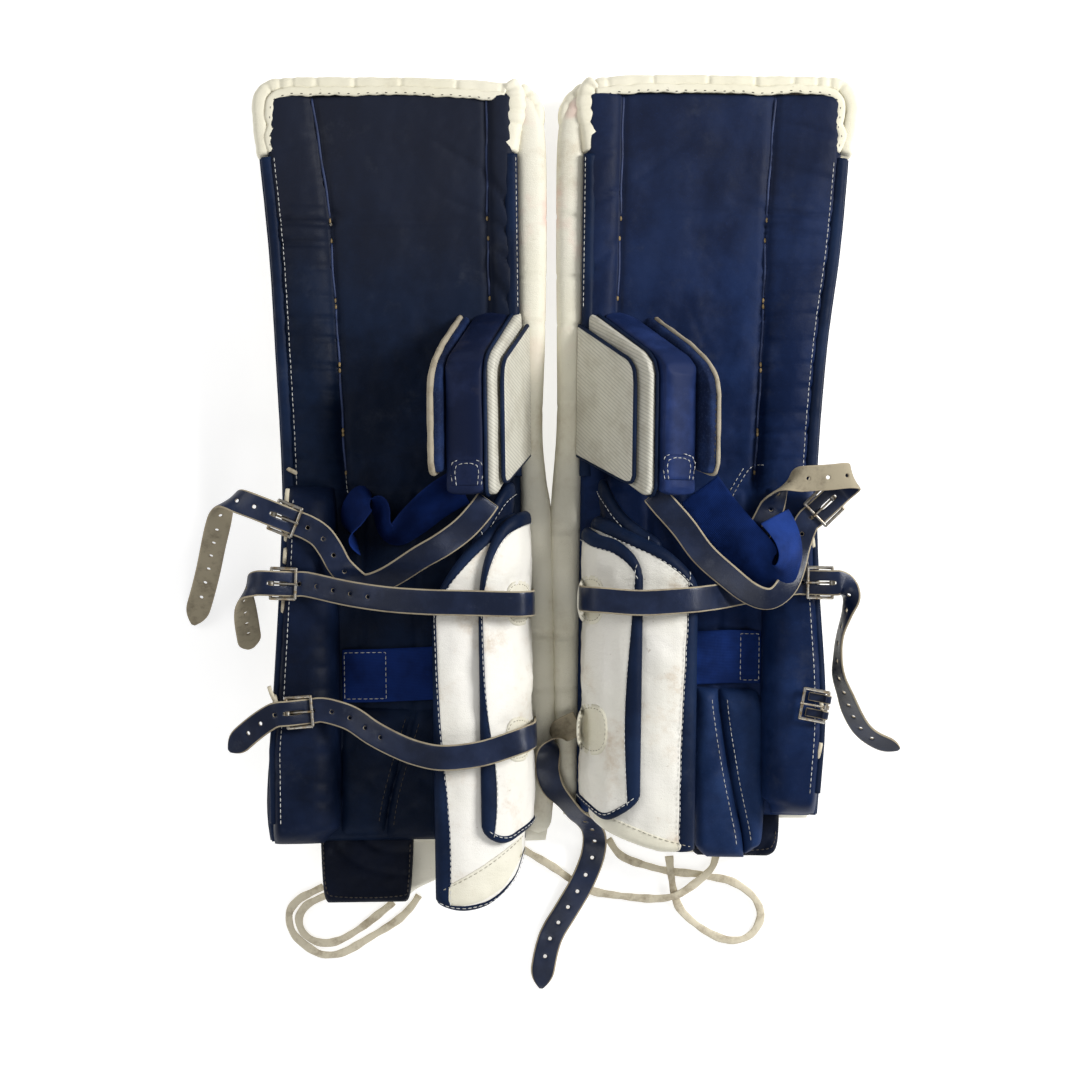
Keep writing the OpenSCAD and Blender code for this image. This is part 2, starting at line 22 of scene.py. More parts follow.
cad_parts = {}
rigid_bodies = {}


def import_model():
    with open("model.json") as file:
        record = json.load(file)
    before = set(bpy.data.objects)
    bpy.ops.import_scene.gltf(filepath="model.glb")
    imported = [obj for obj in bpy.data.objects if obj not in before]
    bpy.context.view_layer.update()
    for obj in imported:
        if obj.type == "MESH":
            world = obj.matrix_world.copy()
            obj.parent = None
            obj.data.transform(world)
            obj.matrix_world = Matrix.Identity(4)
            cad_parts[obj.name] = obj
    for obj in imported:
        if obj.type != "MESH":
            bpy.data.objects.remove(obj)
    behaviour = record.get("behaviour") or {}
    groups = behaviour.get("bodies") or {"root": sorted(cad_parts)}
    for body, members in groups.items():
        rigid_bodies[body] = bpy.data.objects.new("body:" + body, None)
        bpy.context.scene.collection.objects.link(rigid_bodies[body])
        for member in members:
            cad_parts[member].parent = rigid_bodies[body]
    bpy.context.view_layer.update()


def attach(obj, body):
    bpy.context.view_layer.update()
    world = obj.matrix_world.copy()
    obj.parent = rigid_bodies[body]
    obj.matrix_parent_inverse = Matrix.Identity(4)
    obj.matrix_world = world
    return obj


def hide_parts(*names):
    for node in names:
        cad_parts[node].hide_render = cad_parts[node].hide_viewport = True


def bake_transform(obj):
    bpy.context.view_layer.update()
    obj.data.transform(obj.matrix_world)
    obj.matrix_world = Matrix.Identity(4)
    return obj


LOG = logging.getLogger("leg_pads")
MM = 0.001
LEFT_X, RIGHT_X = -137.0, 158.0  # middle line of each pad in the pair's frame
TOE_OUT = math.radians(0.8)  # turn of each pad about its middle
FLOOR_DROP = 0.0008
Grid = np.ndarray
Points = Sequence[Sequence[float]]


class Side(Enum):
    """Which pad of the pair a piece belongs to."""

    LEFT = "left"
    RIGHT = "right"

    def node(self, name: str) -> str:
        """Name of this side's CAD node or body."""
        return f"{self.value}_{name}"

    def pick(self, left: object, right: object) -> object:
        """The value for this side."""
        return left if self is Side.LEFT else right

    def place(self, points: Grid) -> Grid:
        """Turns pad millimetres into metres in the pair's frame.

        Args:
            points: An array whose last axis is x, y, z.

        Returns:
            An array of the same shape.
        """
        points = np.asarray(points, float)
        c, s = math.cos(TOE_OUT), math.sin(TOE_OUT)
        x, y, z = points[..., 0], points[..., 1], points[..., 2]
        if self is Side.LEFT:
            placed = (c * x - s * y + LEFT_X, s * x + c * y, z)
        else:
            placed = (-c * x + s * y + RIGHT_X, s * x + c * y, z)
        return np.stack(placed, axis=-1) * MM


# ---------------------------------------------------------------- curves and relief


def smooth(points: Points, steps: int = 6) -> Grid:
    """Runs a Catmull-Rom curve through points.

    Args:
        points: Rows of numbers.
        steps: Stretches between two rows.

    Returns:
        The finer rows.
    """
    rows = np.asarray(points, float)
    ends = np.vstack([rows[0], rows, rows[-1]])
    fine = []
    for i in range(len(rows) - 1):
        a, b, c, d = ends[i : i + 4]
        for k in range(steps):
            t = k / steps
            fine.append(
                0.5 * (
                    2 * b + (c - a) * t + (2 * a - 5 * b + 4 * c - d) * t**2 + (3 * b - a - 3 * c + d) * t**3
                )
            )
    return np.vstack([fine, rows[-1]])


def edge_line(*pairs: tuple[float, float]) -> Callable[[Grid], Grid]:
    """A smooth line given as (position, value) pairs, ready to be read at any position.

    Args:
        pairs: The pairs, in rising order of position.

    Returns:
        A function from positions to values.
    """
    fine = smooth(pairs)
    return lambda at: np.interp(at, fine[:, 0], fine[:, 1])


def waves(x: Grid, y: Grid, size: float, seed: int, stretch: float = 1.0) -> Grid:
    """Soft, repeatable unevenness between about -1 and 1.

    Args:
        x: First coordinate.
        y: Second coordinate.
        size: Typical distance between two swells.
        seed: Picks the pattern.
        stretch: How much longer the swells are along y.

    Returns:
        The height at each place.
    """
    rng = np.random.default_rng(seed)
    total = np.zeros(np.broadcast(x, y).shape)
    for _ in range(7):
        angle, phase = rng.uniform(0, 2 * math.pi, 2)
        pitch = size * rng.uniform(0.7, 1.6)
        total = (
            total + np.sin(2 * math.pi * (x * math.cos(angle) + y * math.sin(angle) / stretch) / pitch + phase)
        )
    return total / 4.0


def crease(x: Grid, y: Grid, start: Points, end: Points, depth: float, width: float) -> Grid:
    """A valley along a straight line that fades at both ends.

    Args:
        x: First coordinate.
        y: Second coordinate.
        start: Where it starts.
        end: Where it ends.
        depth: Its depth; a negative one is a ridge.
        width: Half its width.

    Returns:
        The height to add.
    """
    ax, ay = start
    bx, by = end
    length2 = (bx - ax) ** 2 + (by - ay) ** 2
    t = ((x - ax) * (bx - ax) + (y - ay) * (by - ay)) / length2
    inside = np.clip(t, 0, 1)
    gap = np.hypot(x - ax - inside * (bx - ax), y - ay - inside * (by - ay))
    return -depth * np.exp(-((gap / width) ** 2)) * np.sqrt(np.sin(math.pi * np.clip(inside, 0.04, 0.96)))


def rounded(distance: Grid, radius: float) -> Grid:
    """Height of a quarter-round edge, from 0 at the edge to 1 inside."""
    return np.sqrt(np.clip(1 - (1 - np.clip(distance / radius, 0, 1)) ** 2, 0, 1))


def spread(length: float, step: float, edge: float) -> Grid:
    """Positions from 0 to 1 that crowd together at both ends.

    Args:
        length: Real length.
        step: Distance between positions in the middle.
        edge: Length of the crowded ends.

    Returns:
        The positions.
    """
    near = np.array([0, 0.05, 0.15, 0.3, 0.5, 0.74]) * edge
    middle = np.linspace(edge, length - edge, max(2, int(round((length - 2 * edge) / step)) + 1))
    return np.concatenate([near, middle, length - near[::-1]]) / length


def bump_row(at: Grid, spots: Sequence[float], width: float) -> Grid:
    """A row of soft bumps of height 1.

    Args:
        at: Positions.
        spots: Middles of the bumps.
        width: Half width of each.

    Returns:
        The heights.
    """
    return sum(np.exp(-(((at - s) / width) ** 2)) for s in spots)


# ---------------------------------------------------------------- materials


class Signal:
    """An output socket in a material, with arithmetic that adds Math nodes."""

    def __init__(self, sheet: "NodeSheet", socket: bpy.types.NodeSocket) -> None:
        """Keeps the sheet and the socket."""
        self.sheet = sheet
        self.socket = socket

    def _math(self, operation: str, first: object, second: object) -> "Signal":
        """Adds one Math node."""
        return self.sheet.add("ShaderNodeMath", {"operation": operation}, {0: first, 1: second})

    def _operator(operation: str, swapped: bool = False) -> Callable:
        """One arithmetic operator; swapped is its reflected form."""

        def apply(self: "Signal", other: object) -> "Signal":
            """Works the two out with one Math node."""
            return self._math(operation, *((other, self) if swapped else (self, other)))

        return apply

    __add__, __radd__ = _operator("ADD"), _operator("ADD", True)
    __sub__, __rsub__ = _operator("SUBTRACT"), _operator("SUBTRACT", True)
    __mul__, __rmul__ = _operator("MULTIPLY"), _operator("MULTIPLY", True)

    def wave(self) -> "Signal":
        """Sine of this signal, brought to 0..1."""
        return self._math("SINE", self, 0.0) * 0.5 + 0.5

    def size(self) -> "Signal":
        """Absolute value."""
        return self._math("ABSOLUTE", self, 0.0)

    def ramp(self, low: float, high: float) -> "Signal":
        """Smooth step from 0 at low to 1 at high (either may be the larger)."""
        return self.sheet.add(
            "ShaderNodeMapRange",
            {"interpolation_type": "SMOOTHSTEP"},
            {"Value": self, "From Min": low, "From Max": high, "To Min": 0.0, "To Max": 1.0},
        )


class NodeSheet:
    """One material's node tree and the only place where its nodes are added."""

    def __init__(self, name: str) -> None:
        """Starts an empty tree with a shader and an output."""
        self.material = bpy.data.materials.new(name)
        self.material.use_nodes = True
        self.tree = self.material.node_tree
        self.tree.nodes.clear()
        self.shader = self.tree.nodes.new("ShaderNodeBsdfPrincipled")
        output = self.tree.nodes.new("ShaderNodeOutputMaterial")
        self.tree.links.new(self.shader.outputs[0], output.inputs[0])

    def add(self, kind: str, settings: dict, values: dict, out: int | str = 0) -> Signal:
        """Adds a node.

        Args:
            kind: The node's type.
            settings: Its own settings; "stops" fills a ramp with (place, colour) pairs.
            values: Numbers, colours or signals for its sockets.
            out: Which output to return.

        Returns:
            The output as a signal.
        """
        node = self.tree.nodes.new(kind)
        for key, value in settings.items():
            if key == "stops":
                stops = node.color_ramp.elements
                while len(stops) < len(value):
                    stops.new(0.5)
                for stop, (place, colour) in zip(stops, value):
                    stop.position, stop.color = place, colour
            else:
                setattr(node, key, value)
        for key, value in values.items():
            if isinstance(value, Signal):
                self.tree.links.new(value.socket, node.inputs[key])
            else:
                node.inputs[key].default_value = value
        return Signal(self, node.outputs[out])

    def place(self) -> Signal:
        """Object coordinates."""
        return self.add("ShaderNodeTexCoord", {}, {}, "Object")

    def along(self) -> Signal:
        """The piece's own map: length in x and width in y, in metres."""
        return self.add("ShaderNodeUVMap", {"uv_map": "along"}, {}, 0)

    def axis(self, vector: Signal, index: int) -> Signal:
        """One coordinate of a vector."""
        return self.add("ShaderNodeSeparateXYZ", {}, {0: vector}, index)

    def noise(
        self, size: float, detail: float = 4.0, vector: Signal | None = None, rough: float = 0.6
    ) -> Signal:
        """Noise of a given grain size in metres."""
        spot = vector or self.place()
        return self.add(
            "ShaderNodeTexNoise", {}, {
                "Vector": spot, "Scale": 1.0 / size, "Detail": detail, "Roughness": rough
            }, 0
        )

    def cells(self, size: float, feature: str = "F1", vector: Signal | None = None) -> Signal:
        """Cell pattern of a given size in metres."""
        spot = vector or self.place()
        return self.add("ShaderNodeTexVoronoi", {"feature": feature}, {"Vector": spot, "Scale": 1.0 / size}, 0)

    def blend(self, factor: Signal | float, first: object, second: object) -> Signal:
        """Mixes two colours."""
        node = self.tree.nodes.new("ShaderNodeMix")
        node.data_type = "RGBA"
        node.clamp_factor = True
        for index, value in ((0, factor), (6, first), (7, second)):
            if isinstance(value, Signal):
                self.tree.links.new(value.socket, node.inputs[index])
            else:
                node.inputs[index].default_value = (*value, 1.0) if index else value
        return Signal(self, node.outputs[2])

    def stretch(self, factors: tuple[float, float, float], turn: float = 0.0) -> Signal:
        """Object coordinates turned about z and stretched."""
        return self.add(
            "ShaderNodeMapping", {}, {"Vector": self.place(), "Rotation": (0, 0, turn), "Scale": factors}
        )

    def bump(self, height: Signal, depth: float, strength: float = 1.0, under: Signal | None = None) -> Signal:
        """Bump from a height of 0..1 and a depth in metres."""
        values = {"Height": height, "Distance": depth, "Strength": strength}
        if under is not None:
            values["Normal"] = under
        return self.add("ShaderNodeBump", {}, values)

    def finish(
        self, colour: object, roughness: object, normal: Signal | None = None, **fixed: object
    ) -> bpy.types.Material:
        """Feeds the shader.

        Args:
            colour: Signal or colour for the base.
            roughness: Signal or number.
            normal: Bump, if any.
            fixed: Other shader sockets by name, with "_" for a blank; constants only.

        Returns:
            The material.
        """
        feeds = {"Base Color": colour, "Roughness": roughness, "Normal": normal}
        for name, value in feeds.items():
            if isinstance(value, Signal):
                self.tree.links.new(value.socket, self.shader.inputs[name])
            elif value is not None:
                self.shader.inputs[name].default_value = (*value, 1.0) if name == "Base Color" else value
        for name, value in fixed.items():
            self.shader.inputs[name.replace("_", " ")].default_value = value
        return self.material


class Finish:
    """A finish that is made once and then shared."""

    made: dict[str, bpy.types.Material] = {}
    name: str
    slot: str

    def make(self) -> bpy.types.Material:
        """Builds the material."""
        raise NotImplementedError

    @property
    def material(self) -> bpy.types.Material:
        """The material, built at its first use."""
        if self.name not in Finish.made:
            Finish.made[self.name] = self.make()
        return Finish.made[self.name]


Colour = tuple[float, float, float]


@dataclass(frozen=True)
class Nylon(Finish):
    """Woven pack cloth that fades, creases and gathers dust."""

    name: str
    slot: str
    deep: Colour
    bright: Colour
    dust: float = 0.25
    fade: float = 0.0

    def make(self) -> bpy.types.Material:
        """Fine basket weave, cloudy colour and a pale film of dust."""
        s = NodeSheet(self.name)
        spot = s.place()
        x, y = s.axis(spot, 0), s.axis(spot, 1)
        weave = (x * (2 * math.pi / 0.0011)).wave() * (y * (2 * math.pi / 0.0011)).wave()
        cloud = s.noise(0.09, 5.0, rough=0.62).ramp(0.38, 0.66)
        colour = s.blend(cloud, self.deep, self.bright)
        if self.fade:
            worn = (y + s.noise(0.12) * 0.16 - 0.08).ramp(0.12, 0.42) * self.fade
            colour = s.blend(worn, colour, (0.014, 0.0165, 0.028))
        film = s.noise(0.035, 7.0, rough=0.7).ramp(0.52, 0.78) * s.noise(0.2).ramp(0.4, 0.62) * self.dust
        colour = s.blend(film, colour, (0.07, 0.078, 0.095))
        rub = s.noise(0.0016, 2.0).ramp(0.55, 0.8) * 0.1
        colour = s.blend(rub, colour, tuple(3 * c for c in self.bright))
        pucker = s.noise(0.011, 3.0, rough=0.5)
        normal = s.bump(weave, 0.00018, 0.5, s.bump(pucker, 0.0009, 0.55))
        return s.finish(colour, 0.46 + cloud * 0.14, normal, Specular_IOR_Level=0.09)


@dataclass(frozen=True)
class Hide(Finish):
    """Coated leather with grain, creases, brown stains and scuffs."""

    name: str
    slot: str
    base: Colour
    stain: Colour
    amount: float = 0.35
    rough: float = 0.5
    tint: Colour | None = None

    def make(self) -> bpy.types.Material:
        """Pebbled grain with soiled hollows."""
        s = NodeSheet(self.name)
        large = s.noise(0.08, 6.0, rough=0.66)
        blotch = s.noise(0.028, 8.0, rough=0.72)
        soil = large.ramp(0.47, 0.72) * blotch.ramp(0.42, 0.66) * self.amount
        specks = s.noise(0.0045, 5.0).ramp(0.64, 0.75) * blotch.ramp(0.5, 0.6) * (self.amount * 0.9)
        shade = s.noise(0.15, 3.0).ramp(0.35, 0.65) * 0.35
        darker = tuple(0.86 * c for c in self.base[:2]) + (0.76 * self.base[2],)
        colour = s.blend(shade, self.base, darker)
        if self.tint:
            flush = s.noise(0.05, 3.0).ramp(0.5, 0.7) * s.axis(s.place(), 1).ramp(0.12, 0.3) * 0.5
            colour = s.blend(flush, colour, self.tint)
        colour = s.blend(soil, colour, self.stain)
        colour = s.blend(specks, colour, tuple(0.45 * c for c in self.stain))
        grain = s.cells(0.0016, "DISTANCE_TO_EDGE").ramp(0.0, 0.35)
        lines = s.noise(0.012, 4.0, s.stretch((1.0, 2.6, 1.0)))
        normal = s.bump(grain, 0.00022, 0.45, s.bump(lines, 0.0011, 0.5))
        return s.finish(colour, self.rough + blotch * 0.16, normal, Specular_IOR_Level=0.4)


@dataclass(frozen=True)
class GlossyHide(Finish):
    """Smooth coated leather with a shine, scratches and grey rubs."""

    name: str
    slot: str
    base: Colour
    scuff: Colour = (0.10, 0.10, 0.11)
    amount: float = 0.5
    rough: float = 0.32
    shine: float = 0.2

    def make(self) -> bpy.types.Material:
        """Low grain, long scratches and cloudy rubs."""
        s = NodeSheet(self.name)
        cloud = s.noise(0.05, 5.0)
        bright = tuple(min(1.0, 1.9 * c + 0.004) for c in self.base)
        colour = s.blend(cloud.ramp(0.4, 0.68), self.base, bright)
        scratch = s.noise(0.004, 4.0, s.stretch((6.0, 0.5, 2.0), 0.5)).ramp(0.64, 0.74)
        rub = s.noise(0.03, 8.0, rough=0.74).ramp(0.57, 0.72)
        wear = (scratch * 0.35 + rub * 0.55) * self.amount
        colour = s.blend(wear, colour, self.scuff)
        grain = s.cells(0.0012, "DISTANCE_TO_EDGE").ramp(0.0, 0.3)
        normal = s.bump(grain, 0.00012, 0.35, s.bump(s.noise(0.02, 3.0), 0.0008, 0.4))
        return s.finish(colour, self.rough + wear * 0.4, normal, Specular_IOR_Level=self.shine)


@dataclass(frozen=True)
class PebbledHide(Finish):
    """Dark coated cloth with a speckled, denim-like face."""

    name: str = "pebbled_navy"
    slot: str = "denim_navy"

    def make(self) -> bpy.types.Material:
        """Light flecks on a dark ground."""
        s = NodeSheet(self.name)
        fleck = s.noise(0.0022, 4.0, rough=0.8).ramp(0.5, 0.7)
        cloud = s.noise(0.04, 4.0).ramp(0.4, 0.65)
        ground = s.blend(cloud, (0.006, 0.012, 0.04), (0.012, 0.026, 0.085))
        colour = s.blend(fleck * 0.4, ground, (0.05, 0.08, 0.17))
        normal = s.bump(fleck, 0.0004, 0.6)
        return s.finish(colour, 0.7, normal, Specular_IOR_Level=0.1)


@dataclass(frozen=True)
class RibbedCloth(Finish):
    """White reinforced cloth with fine slanting ribs."""

    name: str
    slot: str
    turn: float
    pitch: float = 0.0026
    soil: float = 0.45

    def make(self) -> bpy.types.Material:
        """Ribs that slant across the face, with yellow-grey soil on them."""
        s = NodeSheet(self.name)
        spot = s.place()
        slant = s.axis(spot, 1) * math.cos(self.turn) + s.axis(spot, 0) * math.sin(self.turn)
        rib = (slant * (2 * math.pi / self.pitch)).wave()
        dirt = s.noise(0.03, 7.0, rough=0.7).ramp(0.42, 0.7) * self.soil
        colour = s.blend(rib.ramp(0.0, 0.5), (0.44, 0.43, 0.37), (0.60, 0.58, 0.50))
        colour = s.blend(dirt, colour, (0.34, 0.31, 0.24))
        scuff = s.noise(0.006, 5.0).ramp(0.66, 0.74) * 0.5
        colour = s.blend(scuff, colour, (0.78, 0.76, 0.70))
        normal = s.bump(rib, 0.00035, 0.5, s.bump(s.noise(0.02, 3.0), 0.0008, 0.4))
        return s.finish(colour, 0.5, normal, Specular_IOR_Level=0.25)


@dataclass(frozen=True)
class Elastic(Finish):
    """Ribbed elastic webbing."""

    name: str = "blue_elastic"
    slot: str = "blue_elastic"
    # These default colours are the darker copy that the left pad uses as painted shade.
    deep: Colour = (0.003, 0.011, 0.065)
    bright: Colour = (0.006, 0.024, 0.14)

    def make(self) -> bpy.types.Material:
        """Ribs along the length and small knots across it."""
        s = NodeSheet(self.name)
        uv = s.along()
        u, v = s.axis(uv, 0), s.axis(uv, 1)
        rib = (v * (2 * math.pi / 0.0015)).wave()
        knot = (u * (2 * math.pi / 0.0014)).wave()
        cloud = s.noise(0.05, 4.0).ramp(0.35, 0.68)
        colour = s.blend(cloud, self.deep, self.bright)
        colour = s.blend(rib.ramp(0.5, 0.0) * 0.28, colour, tuple(0.5 * c for c in self.deep))
        normal = s.bump(knot, 0.0001, 0.5, s.bump(rib, 0.00022, 0.5))
        return s.finish(colour, 0.72, normal, Specular_IOR_Level=0.08)


@dataclass(frozen=True)
class Suede(Finish):
    """Raw leather: the underside and the cut edges of a strap."""

    name: str
    slot: str = "strap_leather"
    base: Colour = (0.30, 0.26, 0.18)
    dark: Colour = (0.12, 0.095, 0.06)

    def make(self) -> bpy.types.Material:
        """Fibrous nap with grey handling marks."""
        s = NodeSheet(self.name)
        fibre = s.noise(0.0012, 5.0, rough=0.75)
        marks = s.noise(0.02, 6.0, rough=0.7).ramp(0.45, 0.72)
        colour = s.blend(marks * 0.75, self.base, self.dark)
        colour = s.blend(fibre.ramp(0.55, 0.75) * 0.35, colour, tuple(min(1, 1.35 * c) for c in self.base))
        return s.finish(colour, 0.88, s.bump(fibre, 0.0003, 0.6))


@dataclass(frozen=True)
class Thread(Finish):
    """Sewing thread and thin cord."""

    name: str
    slot: str
    base: Colour
    soil: Colour

    def make(self) -> bpy.types.Material:
        """Short dark twists and uneven soil."""
        s = NodeSheet(self.name)
        twist = s.noise(0.0011, 2.0)
        colour = s.blend(s.noise(0.02, 5.0).ramp(0.42, 0.66) * 0.7, self.base, self.soil)
        colour = s.blend(twist.ramp(0.6, 0.8) * 0.3, colour, tuple(0.4 * c for c in self.base))
        return s.finish(colour, 0.65, s.bump(twist, 0.0002, 0.5))


@dataclass(frozen=True)
class WornNickel(Finish):
    """Plated wire, rubbed to brass in places."""

    name: str = "worn_nickel"
    slot: str = "buckle_metal"

    def make(self) -> bpy.types.Material:
        """Bright metal with dull and yellow patches."""
        s = NodeSheet(self.name)
        patch = s.noise(0.006, 5.0, rough=0.7)
        colour = s.blend(patch.ramp(0.42, 0.66), (0.44, 0.42, 0.38), (0.30, 0.22, 0.12))
        colour = s.blend(s.noise(0.0018, 4.0).ramp(0.62, 0.72) * 0.7, colour, (0.10, 0.08, 0.05))
        normal = s.bump(s.noise(0.0011, 3.0), 0.00008, 0.4)
        return s.finish(colour, 0.2 + patch * 0.3, normal, Metallic=1.0)


@dataclass(frozen=True)
class Floor(Finish):
    """Pale studio floor."""

    name: str = "studio_floor"
    slot: str = ""

    def make(self) -> bpy.types.Material:
        """Even and almost white, with a glow of its own that keeps shadows faint."""
        s = NodeSheet(self.name)
        glow = {"Emission_Color": (1.0, 1.0, 1.0, 1.0), "Emission_Strength": 0.62}
        return s.finish((0.62, 0.62, 0.62), 0.9, Specular_IOR_Level=0.0, **glow)


# Painted light: one navy nylon in a lit and a shaded copy; the left pad's is darker as painted shade and the
# right pad's brighter as painted light, for a key light from the right.
PANEL_NAVY_SHADED_AND_LIT = {
    Side.LEFT: Nylon(
        "left_panel_navy_shaded", "navy_nylon", (0.0015, 0.0050, 0.016), (0.0042, 0.0115, 0.034), 0.25, 0.8
    ),
    Side.RIGHT: Nylon(
        "right_panel_navy_lit", "navy_nylon", (0.0030, 0.0100, 0.041), (0.0080, 0.022, 0.080), 0.25, 0.5
    ),
}
# Painted light: the wing nylon in a lit and a shaded copy; the left pad's is darker as painted shade and the
# right pad's brighter as painted light.
WING_BLUE_SHADED_AND_LIT = {
    Side.LEFT: Nylon("left_wing_blue_shaded", "blue_nylon", (0.0013, 0.0040, 0.014), (0.0042, 0.010, 0.032), 0.25),
    Side.RIGHT: Nylon("right_wing_blue_lit", "blue_nylon", (0.0030, 0.0105, 0.042), (0.0080, 0.022, 0.078), 0.25),
}
SHADE_NAVY = Nylon("shade_navy", "dark_nylon", (0.0012, 0.0028, 0.009), (0.004, 0.007, 0.019), 0.35)
LINER_NAVY = Nylon("liner_navy", "dark_nylon", (0.0025, 0.006, 0.020), (0.006, 0.014, 0.042), 0.35)
BINDING_NAVY = Nylon("binding_navy", "dark_nylon", (0.0035, 0.009, 0.028), (0.0075, 0.018, 0.052), 0.35)
COVER_CREAM = Hide(
    "cover_cream", "cover_leather", (0.74, 0.71, 0.60), (0.36, 0.26, 0.14), 0.42, 0.5, (0.70, 0.42, 0.36)
)
BINDING_WHITE = Hide("binding_white", "binding_white", (0.80, 0.76, 0.62), (0.42, 0.33, 0.20), 0.4, 0.5)
WING_WHITE = Hide("wing_white", "wing_white", (0.80, 0.78, 0.73), (0.42, 0.27, 0.13), 0.7, 0.5)
# Painted light: the glossy block leather in a lit and a shaded copy; the left pad's base and scuffs are darker
# as painted shade, the right pad's brighter as painted light.
STACK_NAVY_SHADED_AND_LIT = {
    Side.LEFT: GlossyHide(
        "left_stack_navy_shaded", "glossy_navy", (0.0045, 0.009, 0.032), (0.05, 0.045, 0.05), 0.4, 0.5, 0.1
    ),
    Side.RIGHT: GlossyHide(
        "right_stack_navy_lit", "glossy_navy", (0.0075, 0.017, 0.066), (0.06, 0.07, 0.12), 0.4, 0.5, 0.1
    ),
}
STRAP_NAVY = GlossyHide(
    "strap_navy", "strap_leather", (0.004, 0.0085, 0.026), (0.09, 0.10, 0.13), 0.35, 0.3, 0.3
)
STACK_DENIM = PebbledHide()
RIBS_STEEP = RibbedCloth("ribs_steep", "white_nylon", 0.82)
RIBS_LOW = RibbedCloth("ribs_low", "white_nylon", 0.6, 0.0030)
# Painted light: the elastic in a lit and a shaded copy; the left pad's (the class defaults) is darker as
# painted shade, the right pad's brighter as painted light.
ELASTIC_BLUE_SHADED_AND_LIT = {
    Side.LEFT: Elastic("left_elastic"),
    Side.RIGHT: Elastic("right_elastic", "blue_elastic", (0.004, 0.016, 0.085), (0.010, 0.036, 0.19)),
}
# Painted light: the channel lobes use the left pad's shaded panel copy, and on the right a still brighter copy
# of the navy nylon as painted light.
CHANNEL_BLUE_SHADED_AND_LIT = {
    Side.LEFT: PANEL_NAVY_SHADED_AND_LIT[Side.LEFT],
    Side.RIGHT: Nylon("right_channel_blue_lit", "navy_nylon", (0.0075, 0.020, 0.068), (0.015, 0.036, 0.11), 0.25),
}
STRAP_SUEDE = Suede("strap_suede")
STRAP_EDGE = Suede("strap_edge", "strap_leather", (0.34, 0.29, 0.20), (0.16, 0.12, 0.08))
RAW_EDGE = Suede("raw_edge", "denim_navy", (0.36, 0.315, 0.235), (0.17, 0.13, 0.08))
LACE_CREAM = Suede("lace_cream", "lace_leather", (0.66, 0.60, 0.46), (0.28, 0.22, 0.14))
THREAD_WHITE = Thread("thread_white", "white_nylon", (0.60, 0.60, 0.58), (0.26, 0.25, 0.23))
STITCH_CREAM = Thread("stitch_cream", "cover_leather", (0.42, 0.40, 0.32), (0.2, 0.17, 0.12))
THREAD_DARK = Thread("thread_dark", "dark_nylon", (0.03, 0.025, 0.02), (0.06, 0.045, 0.03))
THREAD_GOLD = Thread("thread_gold", "lace_leather", (0.30, 0.21, 0.09), (0.14, 0.10, 0.05))
CORD_BLUE = Thread("cord_blue", "navy_nylon", (0.016, 0.032, 0.10), (0.007, 0.014, 0.045))
NICKEL = WornNickel()


# ---------------------------------------------------------------- making meshes


def clear_selection() -> None:
    """Leaves nothing selected, so an operator acts on the new piece alone."""
    for obj in bpy.context.view_layer.objects:
        obj.select_set(False)


def make_object(
    name: str, points: Grid, faces: list, finishes: Sequence[Finish], closed: bool = True
) -> bpy.types.Object:
    """Makes a piece from points in metres.

    Args:
        name: Its name.
        points: Rows of x, y, z.
        faces: Lists of point numbers.
        finishes: One finish per material index.
        closed: Whether its faces are turned outwards here.

    Returns:
        The new object, at the origin.
    """
    mesh = bpy.data.meshes.new(name)
    mesh.from_pydata([tuple(map(float, p)) for p in points], [], faces)
    mesh.update()
    if closed:
        work = bmesh.new()
        work.from_mesh(mesh)
        bmesh.ops.recalc_face_normals(work, faces=work.faces)
        work.to_mesh(mesh)
        work.free()
    for face in mesh.polygons:
        face.use_smooth = True
    obj = bpy.data.objects.new(name, mesh)
    bpy.context.collection.objects.link(obj)
    for finish in finishes:
        mesh.materials.append(finish.material)
    return obj


def apply_modifiers(obj: bpy.types.Object) -> None:
    """Applies each modifier of a piece."""
    clear_selection()
    bpy.context.view_layer.objects.active = obj
    obj.select_set(True)
    for modifier in list(obj.modifiers):
        bpy.ops.object.modifier_apply(modifier=modifier.name)
    obj.select_set(False)


def refine(obj: bpy.types.Object, levels: int = 1) -> bpy.types.Object:
    """Smooths a piece with a subdivision surface, applied."""
    modifier = obj.modifiers.new("smooth", "SUBSURF")
    modifier.levels = modifier.render_levels = levels
    apply_modifiers(obj)
    return obj


def settle(obj: bpy.types.Object, body: str, finish: Finish, *nodes: str) -> bpy.types.Object:
    """Puts a piece on its body and hides the nodes that it stands for."""
    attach(obj, body)
    if nodes:
        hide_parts(*nodes)
    return obj


SWELL_FRAMES = 20


def bend_over(obj: bpy.types.Object, side: Side, bodies: tuple[str, str], ends: Points, slot: str) -> None:
    """Bakes a piece's placement into its mesh; no bend is made.

    Args:
        obj: The piece.
        side: The pad it is on.
        bodies: The body it starts on and the one it ends on.
        ends: Where the bend starts and ends, in pad millimetres.
        slot: Its material slot; not used.
    """
    first, last = side.place(ends)
    side.node(bodies[0])
    side.node(bodies[1])
    tuple(first)
    tuple(last)
    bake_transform(obj)


